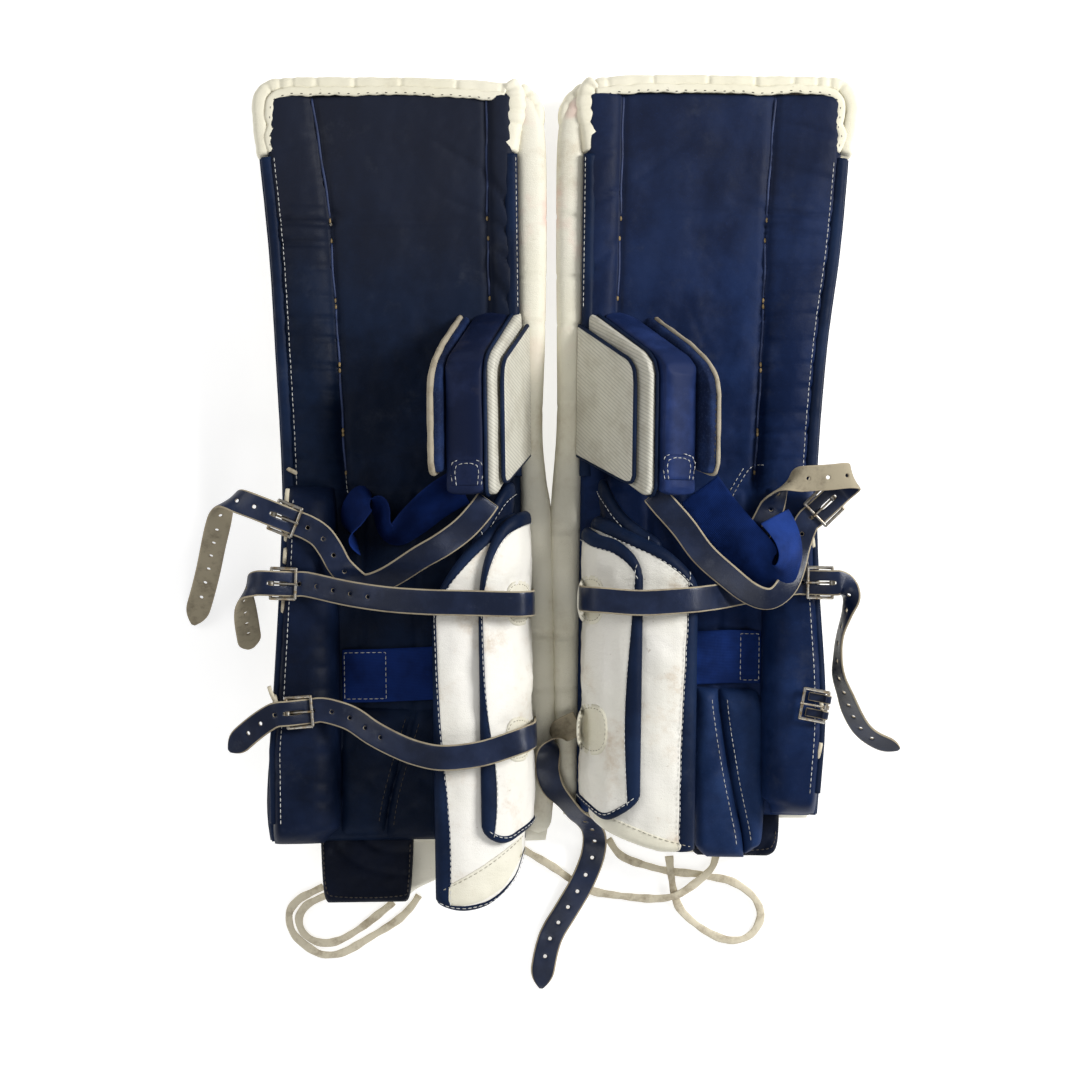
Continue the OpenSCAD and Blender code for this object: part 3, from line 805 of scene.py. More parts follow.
def swell(obj: bpy.types.Object, held: Callable[[Grid], Grid], pressure: float, limit: float) -> None:
    """Blows a closed cover up from inside with a cloth simulation.

    Args:
        obj: The cover, in metres.
        held: Says how firmly each point (in metres) is held, 0..1.
        pressure: Inside pressure.
        limit: Furthest that a point may move, in metres.
    """
    mesh = obj.data
    before = np.empty(len(mesh.vertices) * 3)
    mesh.vertices.foreach_get("co", before)
    before = before.reshape(-1, 3)
    group = obj.vertex_groups.new(name="held")
    for i, weight in enumerate(np.clip(held(before), 0, 1)):
        if weight > 0.01:
            group.add([i], float(weight), "REPLACE")
    cloth = obj.modifiers.new("cloth", "CLOTH")
    cloth.settings.quality = 5
    cloth.settings.use_pressure = True
    cloth.settings.uniform_pressure_force = pressure
    cloth.settings.effector_weights.gravity = 0.0
    cloth.settings.vertex_group_mass = "held"
    cloth.settings.tension_stiffness = 18
    cloth.settings.bending_stiffness = 0.6
    cloth.collision_settings.use_collision = False
    cloth.point_cache.frame_start, cloth.point_cache.frame_end = 1, SWELL_FRAMES
    for frame in range(1, SWELL_FRAMES + 1):
        bpy.context.scene.frame_set(frame)
    grown = obj.evaluated_get(bpy.context.evaluated_depsgraph_get()).to_mesh()
    after = np.empty(before.size)
    grown.vertices.foreach_get("co", after)
    after = after.reshape(-1, 3)
    obj.evaluated_get(bpy.context.evaluated_depsgraph_get()).to_mesh_clear()
    obj.modifiers.remove(cloth)
    obj.vertex_groups.remove(group)
    bpy.context.scene.frame_set(1)
    shift = after - before
    length = np.linalg.norm(shift, axis=1, keepdims=True)
    shift *= np.minimum(1.0, limit / np.maximum(length, 1e-9))
    mesh.vertices.foreach_set("co", (before + shift).ravel())
    mesh.update()


@dataclass
class Pillow:
    """A closed padded form about a middle surface, thinning to nothing at its rim."""

    name: str
    mid: Grid
    up: Grid
    down: Grid
    turned: bool = False

    def normals(self) -> Grid:
        """Unit normals of the middle surface, towards `up`; turned swaps the two sides."""
        du = np.gradient(self.mid, axis=0)
        dv = np.gradient(self.mid, axis=1)
        n = np.cross(du, dv) * (-1 if self.turned else 1)
        return n / np.maximum(np.linalg.norm(n, axis=-1, keepdims=True), 1e-9)

    def build(self, side: Side, finish: Finish) -> bpy.types.Object:
        """Makes the piece.

        Args:
            side: The pad it is on.
            finish: Its finish.

        Returns:
            The object.
        """
        n, m = self.mid.shape[:2]
        normal = self.normals()
        top = self.mid + normal * self.up[..., None]
        low = self.mid - normal * self.down[..., None]
        index_top = np.arange(n * m).reshape(n, m)
        index_low = index_top.copy()
        index_low[1:-1, 1:-1] = n * m + np.arange((n - 2) * (m - 2)).reshape(n - 2, m - 2)
        top[0], top[-1], top[:, 0], top[:, -1] = self.mid[0], self.mid[-1], self.mid[:, 0], self.mid[:, -1]
        points = np.vstack([top.reshape(-1, 3), low[1:-1, 1:-1].reshape(-1, 3)])
        faces = []
        for index in (index_top, index_low):
            quads = np.stack([index[:-1, :-1], index[1:, :-1], index[1:, 1:], index[:-1, 1:]], axis=-1)
            quads = quads if index is index_top else quads[..., ::-1]
            faces += quads.reshape(-1, 4).tolist()
        return make_object(self.name, side.place(points), faces, [finish])


@dataclass
class Flat:
    """A grid over the ground plane between two edge lines."""

    y0: float
    y1: float
    left: Callable[[Grid], Grid]
    right: Callable[[Grid], Grid]
    step: float = 4.0
    edge: float = 8.0

    def __post_init__(self) -> None:
        """Lays the grid out."""
        v = spread(self.y1 - self.y0, self.step, self.edge)
        self.y = self.y0 + (self.y1 - self.y0) * v
        low, high = self.left(self.y), self.right(self.y)
        u = spread(float(np.mean(high - low)), self.step, self.edge)
        self.x = low[:, None] + (high - low)[:, None] * u[None, :]
        self.y = np.repeat(self.y[:, None], len(u), axis=1)
        width = (high - low)[:, None]
        self.side_gap = np.minimum(u, 1 - u)[None, :] * width
        self.end_gap = (np.minimum(v, 1 - v) * (self.y1 - self.y0))[:, None] * np.ones_like(self.side_gap)

    def rim(self, side_r: float, end_r: float) -> Grid:
        """Rounding of all four edges, 0 at the rim to 1 inside."""
        return rounded(self.side_gap, side_r) * rounded(self.end_gap, end_r)

    def pillow(self, name: str, z: float, up: Grid, down: Grid) -> Pillow:
        """A padded form with this outline about height z."""
        mid = np.stack([self.x, self.y, np.full_like(self.x, z)], axis=-1)
        return Pillow(name, mid, up, down, turned=True)


def frames(path: Grid) -> tuple[Grid, Grid, Grid]:
    """Directions along a path.

    Args:
        path: Rows of x, y, z.

    Returns:
        Unit tangents, side vectors and normals at each row.
    """
    tangent = np.gradient(path, axis=0)
    tangent /= np.maximum(np.linalg.norm(tangent, axis=1, keepdims=True), 1e-9)
    sides = np.empty_like(tangent)
    guess = np.array([0.0, 0.0, 1.0])
    side = np.cross(tangent[0], guess)
    if np.linalg.norm(side) < 0.1:
        side = np.array([1.0, 0.0, 0.0])
    for i, t in enumerate(tangent):
        side = side - t * np.dot(side, t)
        side /= np.linalg.norm(side)
        sides[i] = side
    return tangent, sides, np.cross(sides, tangent)


def tube_mesh(path: Grid, width: Grid | float, height: Grid | float, sides: int, square: float = 1.0) -> tuple[
    Grid, list
]:
    """Points and faces of a closed tube along a path.

    Args:
        path: Rows of x, y, z.
        width: Half width across, per row or for all.
        height: Half height, per row or for all.
        sides: Corners of the section.
        square: 1 for round, smaller for a boxier section.

    Returns:
        The points and the faces.
    """
    _, across, up = frames(path)
    n = len(path)
    angle = np.linspace(0, 2 * math.pi, sides, endpoint=False)
    ca = np.sign(np.cos(angle)) * np.abs(np.cos(angle)) ** square
    sa = np.sign(np.sin(angle)) * np.abs(np.sin(angle)) ** square
    w = np.broadcast_to(np.asarray(width, float), (n,))
    h = np.broadcast_to(np.asarray(height, float), (n,))
    ring = (
        path[:, None] + across[:, None] * (w[:, None] * ca)[..., None]
        + up[:, None] * (h[:, None] * sa)[..., None]
    )
    points = np.vstack([ring.reshape(-1, 3), path[:1], path[-1:]])
    faces = []
    for i in range(n - 1):
        for j in range(sides):
            a, b = i * sides + j, i * sides + (j + 1) % sides
            faces.append([a, b, b + sides, a + sides])
    for j in range(sides):
        k = (j + 1) % sides
        faces.append([n * sides, k, j])
        faces.append([n * sides + 1, (n - 1) * sides + j, (n - 1) * sides + k])
    return points, faces


def tube(
    name: str,
    side: Side,
    path: Grid,
    width: Grid | float,
    height: Grid | float,
    finish: Finish,
    sides: int = 10,
    square: float = 1.0,
) -> bpy.types.Object:
    """Makes a roll, cord or piping along a path in pad millimetres."""
    points, faces = tube_mesh(np.asarray(path, float), width, height, sides, square)
    return make_object(name, side.place(points), faces, [finish])


def travel(path: Grid) -> Grid:
    """Distance of each row of a path from its start."""
    return np.concatenate([[0], np.cumsum(np.linalg.norm(np.diff(path, axis=0), axis=1))])


def read_rows(at: Grid, gone: Grid, rows: Grid) -> Grid:
    """Reads a table at given distances, where gone holds the distance of each of its rows."""
    return np.stack([np.interp(at, gone, column) for column in rows.T], axis=-1)


def even(path: Grid, step: float) -> Grid:
    """Spaces a path's rows evenly."""
    path = np.asarray(path, float)
    gone = travel(path)
    return read_rows(np.linspace(0, gone[-1], max(2, int(round(gone[-1] / step)) + 1)), gone, path)


class Ground:
    """Finds the top of finished pieces, so that a seam or cord can lie on them."""

    def __init__(self, side: Side, *objects: bpy.types.Object) -> None:
        """Collects the pieces' faces."""
        self.side = side
        points, faces, base = [], [], 0
        for obj in objects:
            points += [v.co.copy() for v in obj.data.vertices]
            faces += [[base + i for i in f.vertices] for f in obj.data.polygons]
            base = len(points)
        self.tree = BVHTree.FromPolygons(points, faces)

    def drop(self, path: Points, lift: float, fallback: float = 66.0) -> Grid:
        """Lays a flat path on the pieces.

        Args:
            path: Rows of x and y in pad millimetres.
            lift: Height kept above the surface.
            fallback: Height where nothing lies below.

        Returns:
            Rows of x, y, z in pad millimetres.
        """
        flat = np.asarray(path, float)
        rows = np.column_stack([flat[:, :2], np.zeros(len(flat))])
        world = self.side.place(rows)
        heights = []
        for p in world:
            hit = self.tree.ray_cast(Vector((p[0], p[1], 0.4)), Vector((0, 0, -1)))[0]
            heights.append(hit.z / MM if hit else fallback)
        rows[:, 2] = np.asarray(heights) + lift
        return rows


def stitches(
    name: str,
    side: Side,
    path: Grid,
    finish: Finish = THREAD_WHITE,
    pitch: float = 5.6,
    length: float = 3.9,
    radius: float = 0.42,
) -> bpy.types.Object:
    """Makes a row of stitches along a path.

    Args:
        name: The row's name.
        side: The pad it is on.
        path: Rows of x, y, z in pad millimetres.
        finish: The thread.
        pitch: Distance from stitch to stitch.
        length: Length of a stitch.
        radius: Half its thickness.

    Returns:
        One object that holds the row.
    """
    step = 0.8
    fine = even(path, step)
    total = (len(fine) - 1) * step
    rng = np.random.default_rng(len(name) + int(total))
    points, faces, base = [], [], 0
    start = 0.5
    while start + length < total:
        at = np.linspace(start, start + length, 4) / step
        rows = read_rows(at, np.arange(len(fine)), fine)
        rows[[0, -1], 2] -= radius * 0.9
        p, f = tube_mesh(rows, radius * np.array([0.5, 1, 1, 0.5]), radius * np.array([0.5, 0.9, 0.9, 0.5]), 5)
        points.append(p)
        faces += [[base + i for i in face] for face in f]
        base += len(p)
        start += pitch * rng.uniform(0.94, 1.06)
    return make_object(name, side.place(np.vstack(points)), faces, [finish])


def sew(name: str, side: Side, body: str, path: Grid, finish: Finish = THREAD_WHITE, *shape: float) -> None:
    """Makes a stitch row that stays on one body; shape is its pitch, length and radius."""
    settle(stitches(side.node(name), side, path, finish, *shape), side.node(body), finish)


# ---------------------------------------------------------------- studio and laces


@dataclass
class Studio:
    """Camera straight above, a pale floor and soft light."""

    height: float = 2.4
    lens: float = 78.0

    def build(self) -> None:
        """Adds the camera, the floor and the lights."""
        clear_selection()
        bpy.ops.object.camera_add(location=(0, 0, self.height), rotation=(0, 0, 0))
        camera = bpy.context.object
        camera.name = "camera"
        camera.data.lens = self.lens
        camera.data.sensor_width = 36.0
        camera.data.clip_start = 0.05
        bpy.context.scene.camera = camera
        bpy.ops.mesh.primitive_plane_add(size=9.0, location=(0, 0, -FLOOR_DROP))
        floor = bpy.context.object
        floor.name = "floor"
        floor.data.materials.append(Floor().material)
        self.lamp("key", (2.1, 0.8, 1.5), 0.9, 72.0)
        self.lamp("fill", (-1.9, 0.9, 1.9), 1.6, 17.0)
        self.lamp("front", (0.1, -1.9, 2.1), 1.3, 17.0)
        world = bpy.data.worlds.new("studio")
        world.use_nodes = True
        world.node_tree.nodes["Background"].inputs["Color"].default_value = (1, 1, 1, 1)
        world.node_tree.nodes["Background"].inputs["Strength"].default_value = 0.34
        bpy.context.scene.world = world
        bpy.context.scene.view_settings.view_transform = "Standard"

    def lamp(self, name: str, place: tuple[float, float, float], size: float, power: float) -> None:
        """Adds one soft lamp that faces the pads."""
        clear_selection()
        bpy.ops.object.light_add(type="AREA", location=place)
        lamp = bpy.context.object
        lamp.name = name
        lamp.data.size = size
        lamp.data.energy = power
        lamp.rotation_euler = (-Vector(place)).to_track_quat("-Z", "Y").to_euler()


@dataclass
class Lace:
    """A flat leather toe lace that lies loose on the floor."""

    name: str
    body: str
    node: str
    points: Points
    far_end: str
    half_width: float = 3.9
    half_height: float = 1.5

    def build(self) -> None:
        path = even(smooth(self.points, 8), 3.0)
        rng = np.random.default_rng(len(self.name))
        along = np.linspace(0, len(path) * 0.35, len(path))
        width = self.half_width * (1 + 0.10 * np.sin(along + rng.uniform(0, 6)) + 0.05 * np.sin(3.1 * along))
        points, faces = tube_mesh(path, width, self.half_height, 12, 0.6)
        obj = make_object(self.name, points * MM, faces, [LACE_CREAM])
        settle(obj, self.body, LACE_CREAM)
        length = float(travel(path)[-1]) * MM
        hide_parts(self.node)


def toe_laces() -> list[Lace]:
    """The laces of both pads, in the pair's own millimetres."""
    z = 2.6
    left_outer = [
        (-222, -355, z), (-234, -361, z), (-248, -369, z), (-257, -383, z), (-252, -404, z), (-230, -422, z),
        (-214, -425, z), (-198, -421, z), (-174, -407, z), (-148, -391, z), (-133, -377, z), (-124, -364, z),
    ]
    left_inner = [
        (-219, -364, z), (-228, -368, z), (-240, -375, z), (-247, -388, z), (-242, -403, z), (-227, -412, z),
        (-208, -411, z), (-186, -399, z), (-165, -383, z), (-150, -371, z),
    ]
    right_loop = [
        (70, -306, z), (84, -324, z), (114, -335, z), (138, -340, z), (160, -342, z), (174, -345, z),
        (197, -350, z), (219, -366, z), (226, -386, z), (215, -405, z), (194, -410, z), (169, -400, z),
        (146, -381, z + 1), (138, -364, z + 2.5), (134, -342, z + 6), (132, -323, z + 4),
    ]
    right_cross = [
        (180, -323, z + 3), (175, -336, z + 5), (158, -351, z + 8), (138, -363, z + 9), (114, -367, z + 3),
        (78, -364, z), (52, -359, z), (32, -348, z), (12, -334, z), (-17, -317, z), (-30, -307, z),
    ]
    return [
        Lace("left_lace_outer", "left_pad", "left_toe_lace", left_outer, "object"),
        Lace("left_lace_inner", "left_pad", "left_toe_lace", left_inner, "object"),
        Lace("right_lace_loop", "right_pad", "right_toe_lace", right_loop, "object"),
        Lace("right_lace_cross", "right_pad", "right_toe_lace", right_cross, "bare"),
    ]


# ---------------------------------------------------------------- straps and elastics


class Route:
    """A band's course: places and width directions that can be read at any distance."""

    def __init__(self, rows: Points) -> None:
        """Smooths rows of x, y, z, azimuth, elevation and, if given, share of the width."""
        full = [tuple(r) + ((1.0,) if len(r) == 5 else ()) for r in rows]
        fine = smooth(full, 6)
        keep = np.concatenate([[True], np.linalg.norm(np.diff(fine[:, :3], axis=0), axis=1) > 1e-6])
        fine = fine[keep]
        self.place = fine[:, :3]
        azimuth, elevation = np.radians(fine[:, 3]), np.radians(fine[:, 4])
        across = np.stack(
            [
                np.cos(azimuth) * np.cos(elevation), np.sin(azimuth) * np.cos(elevation), np.sin(elevation)
            ], axis=1
        )
        tangent = np.gradient(self.place, axis=0)
        tangent /= np.linalg.norm(tangent, axis=1, keepdims=True)
        across -= tangent * np.sum(across * tangent, axis=1, keepdims=True)
        self.across = across / np.linalg.norm(across, axis=1, keepdims=True)
        self.face = np.cross(self.across, tangent)
        self.gone = travel(self.place)
        self.length = float(self.gone[-1])

    def point(self, at: Grid, out: Grid, lift: Grid) -> Grid:
        """Places at a distance, offset across the band and out of its face."""
        at = np.asarray(at, float)
        return (
            read_rows(at, self.gone, self.place)
            + read_rows(at, self.gone, self.across) * np.asarray(out)[..., None]
            + read_rows(at, self.gone, self.face) * np.asarray(lift)[..., None]
        )

    def nearest(self, spot: Sequence[float]) -> float:
        """Distance along the route of the place nearest to a spot."""
        return float(self.gone[np.argmin(np.linalg.norm(self.place - np.asarray(spot), axis=1))])


@dataclass
class Band:
    """A flat strip of leather or elastic that follows a route, with holes punched through it."""

    name: str
    side: Side
    route: Route
    finishes: Sequence[Finish]
    width: float = 25.0
    thick: float = 2.6
    tip: float = 0.0
    holes: Sequence[float] = ()
    slot: tuple[float, float] | None = None
    hole_r: float = 1.9
    crown: float = 0.0

    def share(self, at: Grid) -> Grid:
        """Part of the width that the strip has at a distance."""
        at = np.asarray(at, float)
        share = np.ones_like(at)
        if self.tip:
            t = np.clip((at - (self.route.length - self.tip)) / self.tip, 0, 1)
            share = np.maximum(0.12, (1 - t**2.1) ** 0.75)
        return share

    def stations(self) -> tuple[Grid, list[tuple[float, float]]]:
        """Distances of the rows, and the open stretches cut into the middle columns."""
        r = self.hole_r + 1.4
        cuts = [(h - r, h + r) for h in self.holes]
        if self.slot:
            cuts.append((self.slot[0] - 1.6, self.slot[1] + 1.6))
        rows = [
            s for s in np.arange(0, self.route.length - 2.0, 4.5)
            if all(s < a - 1.5 or s > b + 1.5 for a, b in cuts)
        ]
        rows.append(self.route.length)
        for a, b in cuts:
            rows += list(np.linspace(a, b, max(3, int((b - a) / 4.5) + 1)))
        return np.array(sorted(rows)), cuts

    def build(self) -> bpy.types.Object:
        """Makes the strip, with its map of length and width.

        Returns:
            The object, finished with a subdivision surface.
        """
        rows, cuts = self.stations()
        half, t = self.width / 2, self.thick / 2
        columns = np.array(
            [
                -half, -half + 0.9, -half * 0.6, -self.hole_r - 1.4, 0, self.hole_r + 1.4, half * 0.6,
                half - 0.9, half
            ]
        )
        lifts = np.array([t * 0.35] + [t] * 7 + [t * 0.35])
        crown = self.crown * (1 - (columns / half) ** 2)
        n, m = len(rows), len(columns)
        share = self.share(rows)
        at = np.repeat(rows[:, None], m, axis=1)
        out = share[:, None] * columns[None, :]
        points, maps = [], []
        for sign in (1, -1):
            lift = np.repeat((sign * lifts + crown)[None, :], n, axis=0)
            points.append(self.route.point(at, out, lift).reshape(-1, 3))
            maps.append(np.stack([at, out], axis=-1).reshape(-1, 2))
        index = [np.arange(n * m).reshape(n, m), n * m + np.arange(n * m).reshape(n, m)]
        faces, finish = [], []
        blocks = [(int(np.argmin(abs(rows - a))), int(np.argmin(abs(rows - b)))) for a, b in cuts]
        open_rows = {i for i0, i1 in blocks for i in range(i0, i1)}
        for layer, grid in enumerate(index):
            for i in range(n - 1):
                for j in range(m - 1):
                    if i in open_rows and j in (3, 4):
                        continue
                    quad = [grid[i, j], grid[i + 1, j], grid[i + 1, j + 1], grid[i, j + 1]]
                    faces.append(quad if layer else quad[::-1])
                    finish.append(2 if j in (0, m - 2) else layer)
        for i in range(n - 1):
            for j in (0, m - 1):
                faces.append([index[0][i, j], index[0][i + 1, j], index[1][i + 1, j], index[1][i, j]])
                finish.append(2)
        for i in (0, n - 1):
            for j in range(m - 1):
                faces.append([index[0][i, j], index[0][i, j + 1], index[1][i, j + 1], index[1][i, j]])
                finish.append(2)
        base = 2 * n * m
        for i0, i1 in blocks:
            loop = (
                [(i, 3) for i in range(i0, i1 + 1)] + [(i1, 4)] + [(i, 5) for i in range(i1, i0 - 1, -1)]
                + [(i0, 4)]
            )
            middle = (rows[i0] + rows[i1]) / 2
            reach = max(0.0, (rows[i1] - rows[i0]) / 2 - self.hole_r - 1.4)
            s = np.array([rows[i] for i, _ in loop])
            v = np.array([columns[j] for _, j in loop])
            core = np.clip(s, middle - reach, middle + reach)
            away = np.hypot(s - core, v)
            ring_s, ring_v = core + (s - core) / away * self.hole_r, v / away * self.hole_r
            rings = []
            for sign in (1, -1):
                points.append(self.route.point(ring_s, ring_v, np.full(len(s), sign * t * 0.9)))
                maps.append(np.stack([ring_s, ring_v], axis=-1))
                rings.append([base + k for k in range(len(loop))])
                base += len(loop)
            for k in range(len(loop)):
                q = (k + 1) % len(loop)
                for layer in (0, 1):
                    faces.append(
                        [index[layer][loop[k]], index[layer][loop[q]], rings[layer][q], rings[layer][k]]
                    )
                    finish.append(layer)
                faces.append([rings[0][k], rings[0][q], rings[1][q], rings[1][k]])
                finish.append(2)
        return self.mesh(np.vstack(points), np.vstack(maps), faces, finish)

    def mesh(self, points: Grid, maps: Grid, faces: list, finish: list) -> bpy.types.Object:
        """Turns the tables into the finished object."""
        used = np.zeros(len(points), bool)
        used[[i for face in faces for i in face]] = True
        number = np.cumsum(used) - 1
        faces = [[int(number[i]) for i in face] for face in faces]
        maps = maps[used] * MM
        obj = make_object(self.name, self.side.place(points[used]), faces, self.finishes)
        mesh = obj.data
        mesh.polygons.foreach_set("material_index", finish)
        layer = mesh.uv_layers.new(name="along")
        corners = np.empty(len(mesh.loops), int)
        mesh.loops.foreach_get("vertex_index", corners)
        layer.data.foreach_set("uv", maps[corners].ravel())
        return refine(obj)


LEATHER = (STRAP_NAVY, STRAP_SUEDE, STRAP_EDGE)
BUCKLE_Z = 118.0
BUCKLE_L = 24.0
HOLE_PITCH = 19.0


@dataclass
class Buckle:
    """Place of a buckle: its base bar and the heading of its far bar in degrees."""

    x: float
    y: float
    heading: float

    def spot(self, d: float, out: float, z: float) -> tuple[float, float, float]:
        """A point at a distance towards the far bar, to its left and above the base bar."""
        c, s = math.cos(math.radians(self.heading)), math.sin(math.radians(self.heading))
        return (self.x + d * c - out * s, self.y + d * s + out * c, BUCKLE_Z + z)

    def row(self, d: float, rise: float) -> tuple[float, ...]:
        """A strap's row at a distance from the base bar."""
        return (*self.spot(d, 0, rise), self.heading + 90, 0)

    def through(self) -> list[tuple[float, ...]]:
        """The rows of a strap that is done up in the buckle."""
        return [
            self.row(BUCKLE_L + 12, -2.5), self.row(BUCKLE_L, -3.1), self.row(BUCKLE_L / 2, 1.35),
            self.row(0, 5.8), self.row(-10, 5.8),
        ]


@dataclass
class Straps:
    """The three leather straps of a pad, the loops that hold its buckles, and the buckles' metal."""

    side: Side
    buckles: dict[str, Buckle] = field(init=False)

    def __post_init__(self) -> None:
        """Sets the buckles' places."""
        left = {
            "knee": Buckle(-122.5, 27, -22.7), "calf": Buckle(-126, -40.4, -3), "boot": Buckle(-112, -167.5, 4)
        }
        right = {
            "knee": Buckle(-127, 43, -45), "calf": Buckle(-127.8, -40, 0), "boot": Buckle(-123.6, -161.8, 10)
        }
        self.buckles = self.side.pick(left, right)

    def rows(self, which: str) -> list[tuple[float, ...]]:
        """A strap's rows of x, y, z, azimuth, elevation and share of its width."""
        done_up = self.buckles[which].through()
        table = {
            (Side.LEFT, "knee"): (
                [(88, 38, 148, 124, 8), (80, 27, 150, 124, 8), (64, 10, 150, 122, 10), (43, -5, 147, 120, 14),
                 (21, -17, 136, 115, 20),
                 (-13, -37, 117, 105, 30), (-37, -42, 109, 82, 36), (-57, -27, 116, 45, 12),
                 (-67, -9, 117, 32, 5),
                 (-77, 5, 117, 50, 0)],
                [(-150, 38, 121, 66, 0), (-163, 41.5, 115, 52, -22), (-171, 39, 106, 27, -41),
                 (-176, 31, 96, 5, -30),
                 (-181, 18, 86, -8, -12), (-188, 0, 68, -14, 0), (-198, -28, 40, -14, 0),
                 (-208, -55, 20, -14, 0),
                 (-219, -84, 6, -14, 0)],
            ),
            (Side.LEFT, "calf"): (
                [(129.5, -63, 56, 90, 0), (129.5, -63, 132, 90, 0), (124, -63, 152, 90, 0),
                 (110, -63, 158.5, 90, 0),
                 (60, -61, 159.5, 90, 0), (30, -60, 157, 89, 0), (-10, -57, 148, 87, 0),
                 (-50, -51, 134, 85, 0)],
                [(-142, -40.5, 121, 85, 0), (-150, -45, 115, 72, -18), (-154, -53, 106, 55, -32),
                 (-155, -64, 94, 36, -18), (-156, -80, 72, 27, 0), (-157, -98, 44, 26, 0),
                 (-158, -108, 26, 26, 0)],
            ),
            (Side.LEFT, "boot"): (
                [(129.5, -190, 56, 90, 0), (129.5, -190, 130, 92, 0), (123, -192, 151, 98, 0),
                 (108, -197, 158.5, 108, 0), (77, -206, 159.5, 104, 0), (42, -209.5, 158, 90, 0),
                 (18, -206, 150, 80, 5), (-3, -199, 140, 68, 8), (-28, -187, 128, 63, 5),
                 (-50, -173, 119, 68, 0)],
                [(-130, -172, 120, 100, 0), (-142, -180, 113, 112, 0), (-156, -191, 102, 118, 0),
                 (-166, -200, 94, 122, 0), (-173, -206, 88, 124, 0)],
            ),
            (Side.RIGHT, "knee"): (
                [(49, 45, 144, 140, 10), (39, 33, 146, 140, 10), (20, 12, 146, 139, 10),
                 (1, -13, 145, 134, 14), (-23, -34, 143, 124, 20),
                 (-46, -51, 139, 112, 28), (-66, -56, 136, 85, 30), (-82, -43, 130, 40, 22),
                 (-90, -22, 122, 22, 10),
                 (-94, -4, 117, 26, 2)],
                [(-139, 55, 130, 48, 0), (-144, 61, 139, 60, 0), (-138, 64, 149, 76, 0), (-120, 62, 153, 92, 0),
                 (-94, 60, 153, 97, 0), (-83, 58, 150, 110, -30), (-75, 52, 142, 150, -52),
                 (-70, 42, 134, 186, -34),
                 (-66, 31, 127, 204, -5), (-60, 17, 118, 206, 0), (-54, 4, 107, 206, 0), (-48, -9, 97, 206, 0)],
            ),
            (Side.RIGHT, "calf"): (
                [(118, -58, 67, 90, 0), (118, -58, 128, 90, 0), (112, -58.5, 150, 90, 0), (98, -59, 158, 90, 0),
                 (60, -61, 159.5, 90, 0), (16, -58, 157, 88, 0), (-4, -56, 146, 86, 0), (-20, -54, 131, 86, 0),
                 (-36, -51, 120, 86, 0), (-52, -48, 114.5, 87, 0), (-70, -44, 115.5, 89, 0)],
                [(-141, -45, 119, 118, 28), (-146, -55, 111, 155, 58), (-144, -70, 102, 176, 76),
                 (-140, -90, 91, 186, 84), (-139, -110, 82, 182, 80), (-141, -132, 75, 172, 70),
                 (-151, -155, 58, 160, 62), (-161, -175, 38, 150, 55), (-174, -192, 23, 140, 50),
                 (-191, -203, 14, 122, 48), (-213, -211, 8, 108, 45)],
            ),
        }
        if (self.side, which) == (Side.RIGHT, "boot"):
            return [
                (117, -183, 72, 63, 0), (124, -186.5, 72, 63, 0), (132, -190.5, 73, 66, -4),
                (138, -194, 75, 85, -34),
                (142, -199, 77, 125, -60), (145, -207, 77, 165, -34), (147, -217, 76, 186, -4),
                (147.5, -231, 75, 186, 0), (142, -248, 72, 160, 20), (130, -262, 68, 144, 45),
                (118, -276, 58, 135, 55),
                (107, -286, 42, 142, 52), (100, -296, 28, 160, 34), (98, -310, 16, 178, 12),
                (101, -328, 12, 194, 0),
                (111, -353, 11, 204, 0), (126, -380, 8, 206, 0), (141, -407, 4.5, 203, 0),
                (148, -435, 3, 194, 0),
                (150.5, -462, 2.2, 186, 0),
            ]
        start, end = table[(self.side, which)]
        return start + done_up + end

    def strap(self, which: str, blend: bool) -> bpy.types.Object:
        """Makes one strap."""
        route = Route(self.rows(which))
        loose = (self.side, which) == (Side.RIGHT, "boot")
        slot = None
        if not loose:
            bar = route.nearest(self.buckles[which].spot(0, 0, 5.8))
            slot = (bar - 17.0, bar + 3.0)
        last = route.length - 34.0
        first = route.length - 215.0 if loose else slot[0] - 88.0
        holes = [
            h for h in np.arange(last, first, -HOLE_PITCH) if not slot or h < slot[0] - 7 or h > slot[1] + 7
        ]
        band = Band(
            self.side.node(
                f"{which}_strap_leather"
            ), self.side, route, LEATHER, tip=22.0, holes=holes, slot=slot
        )
        obj = band.build()
        node = self.side.node(f"{which}_strap")
        if blend:
            ends = [route.point(70.0, 0.0, 0.0), route.point(8.0, 0.0, 0.0)]
            bend_over(obj, self.side, ("pad", "knee_stack"), ends, STRAP_NAVY.slot)
            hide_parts(node)
        else:
            settle(obj, self.side.node("pad"), STRAP_NAVY, node)
        return obj

    def loops(self) -> None:
        """Makes the leather loops that tie each buckle's base bar down, split round the prong."""
        for which, buckle in self.buckles.items():
            for k, out in enumerate((-7.8, 7.8)):
                shape = [
                    (19, -5.0), (10, -5.0), (2, -4.9), (-2.3, -3.6), (-3.3, 0.0), (-2.1, 2.4), (0.0, 3.1),
                    (2.4, 2.1), (3.3, -0.6)
                ]
                rows = [(*buckle.spot(d, out, z), buckle.heading + 90, 0) for d, z in shape]
                name = self.side.node(f"{which}_loop_{k}")
                band = Band(
                    name, self.side, Route(rows), (STRAP_NAVY, STRAP_NAVY, STRAP_EDGE), width=8.6, thick=1.9
                )
                settle(band.build(), self.side.node("pad"), STRAP_NAVY, self.side.node("buckle_chapes"))

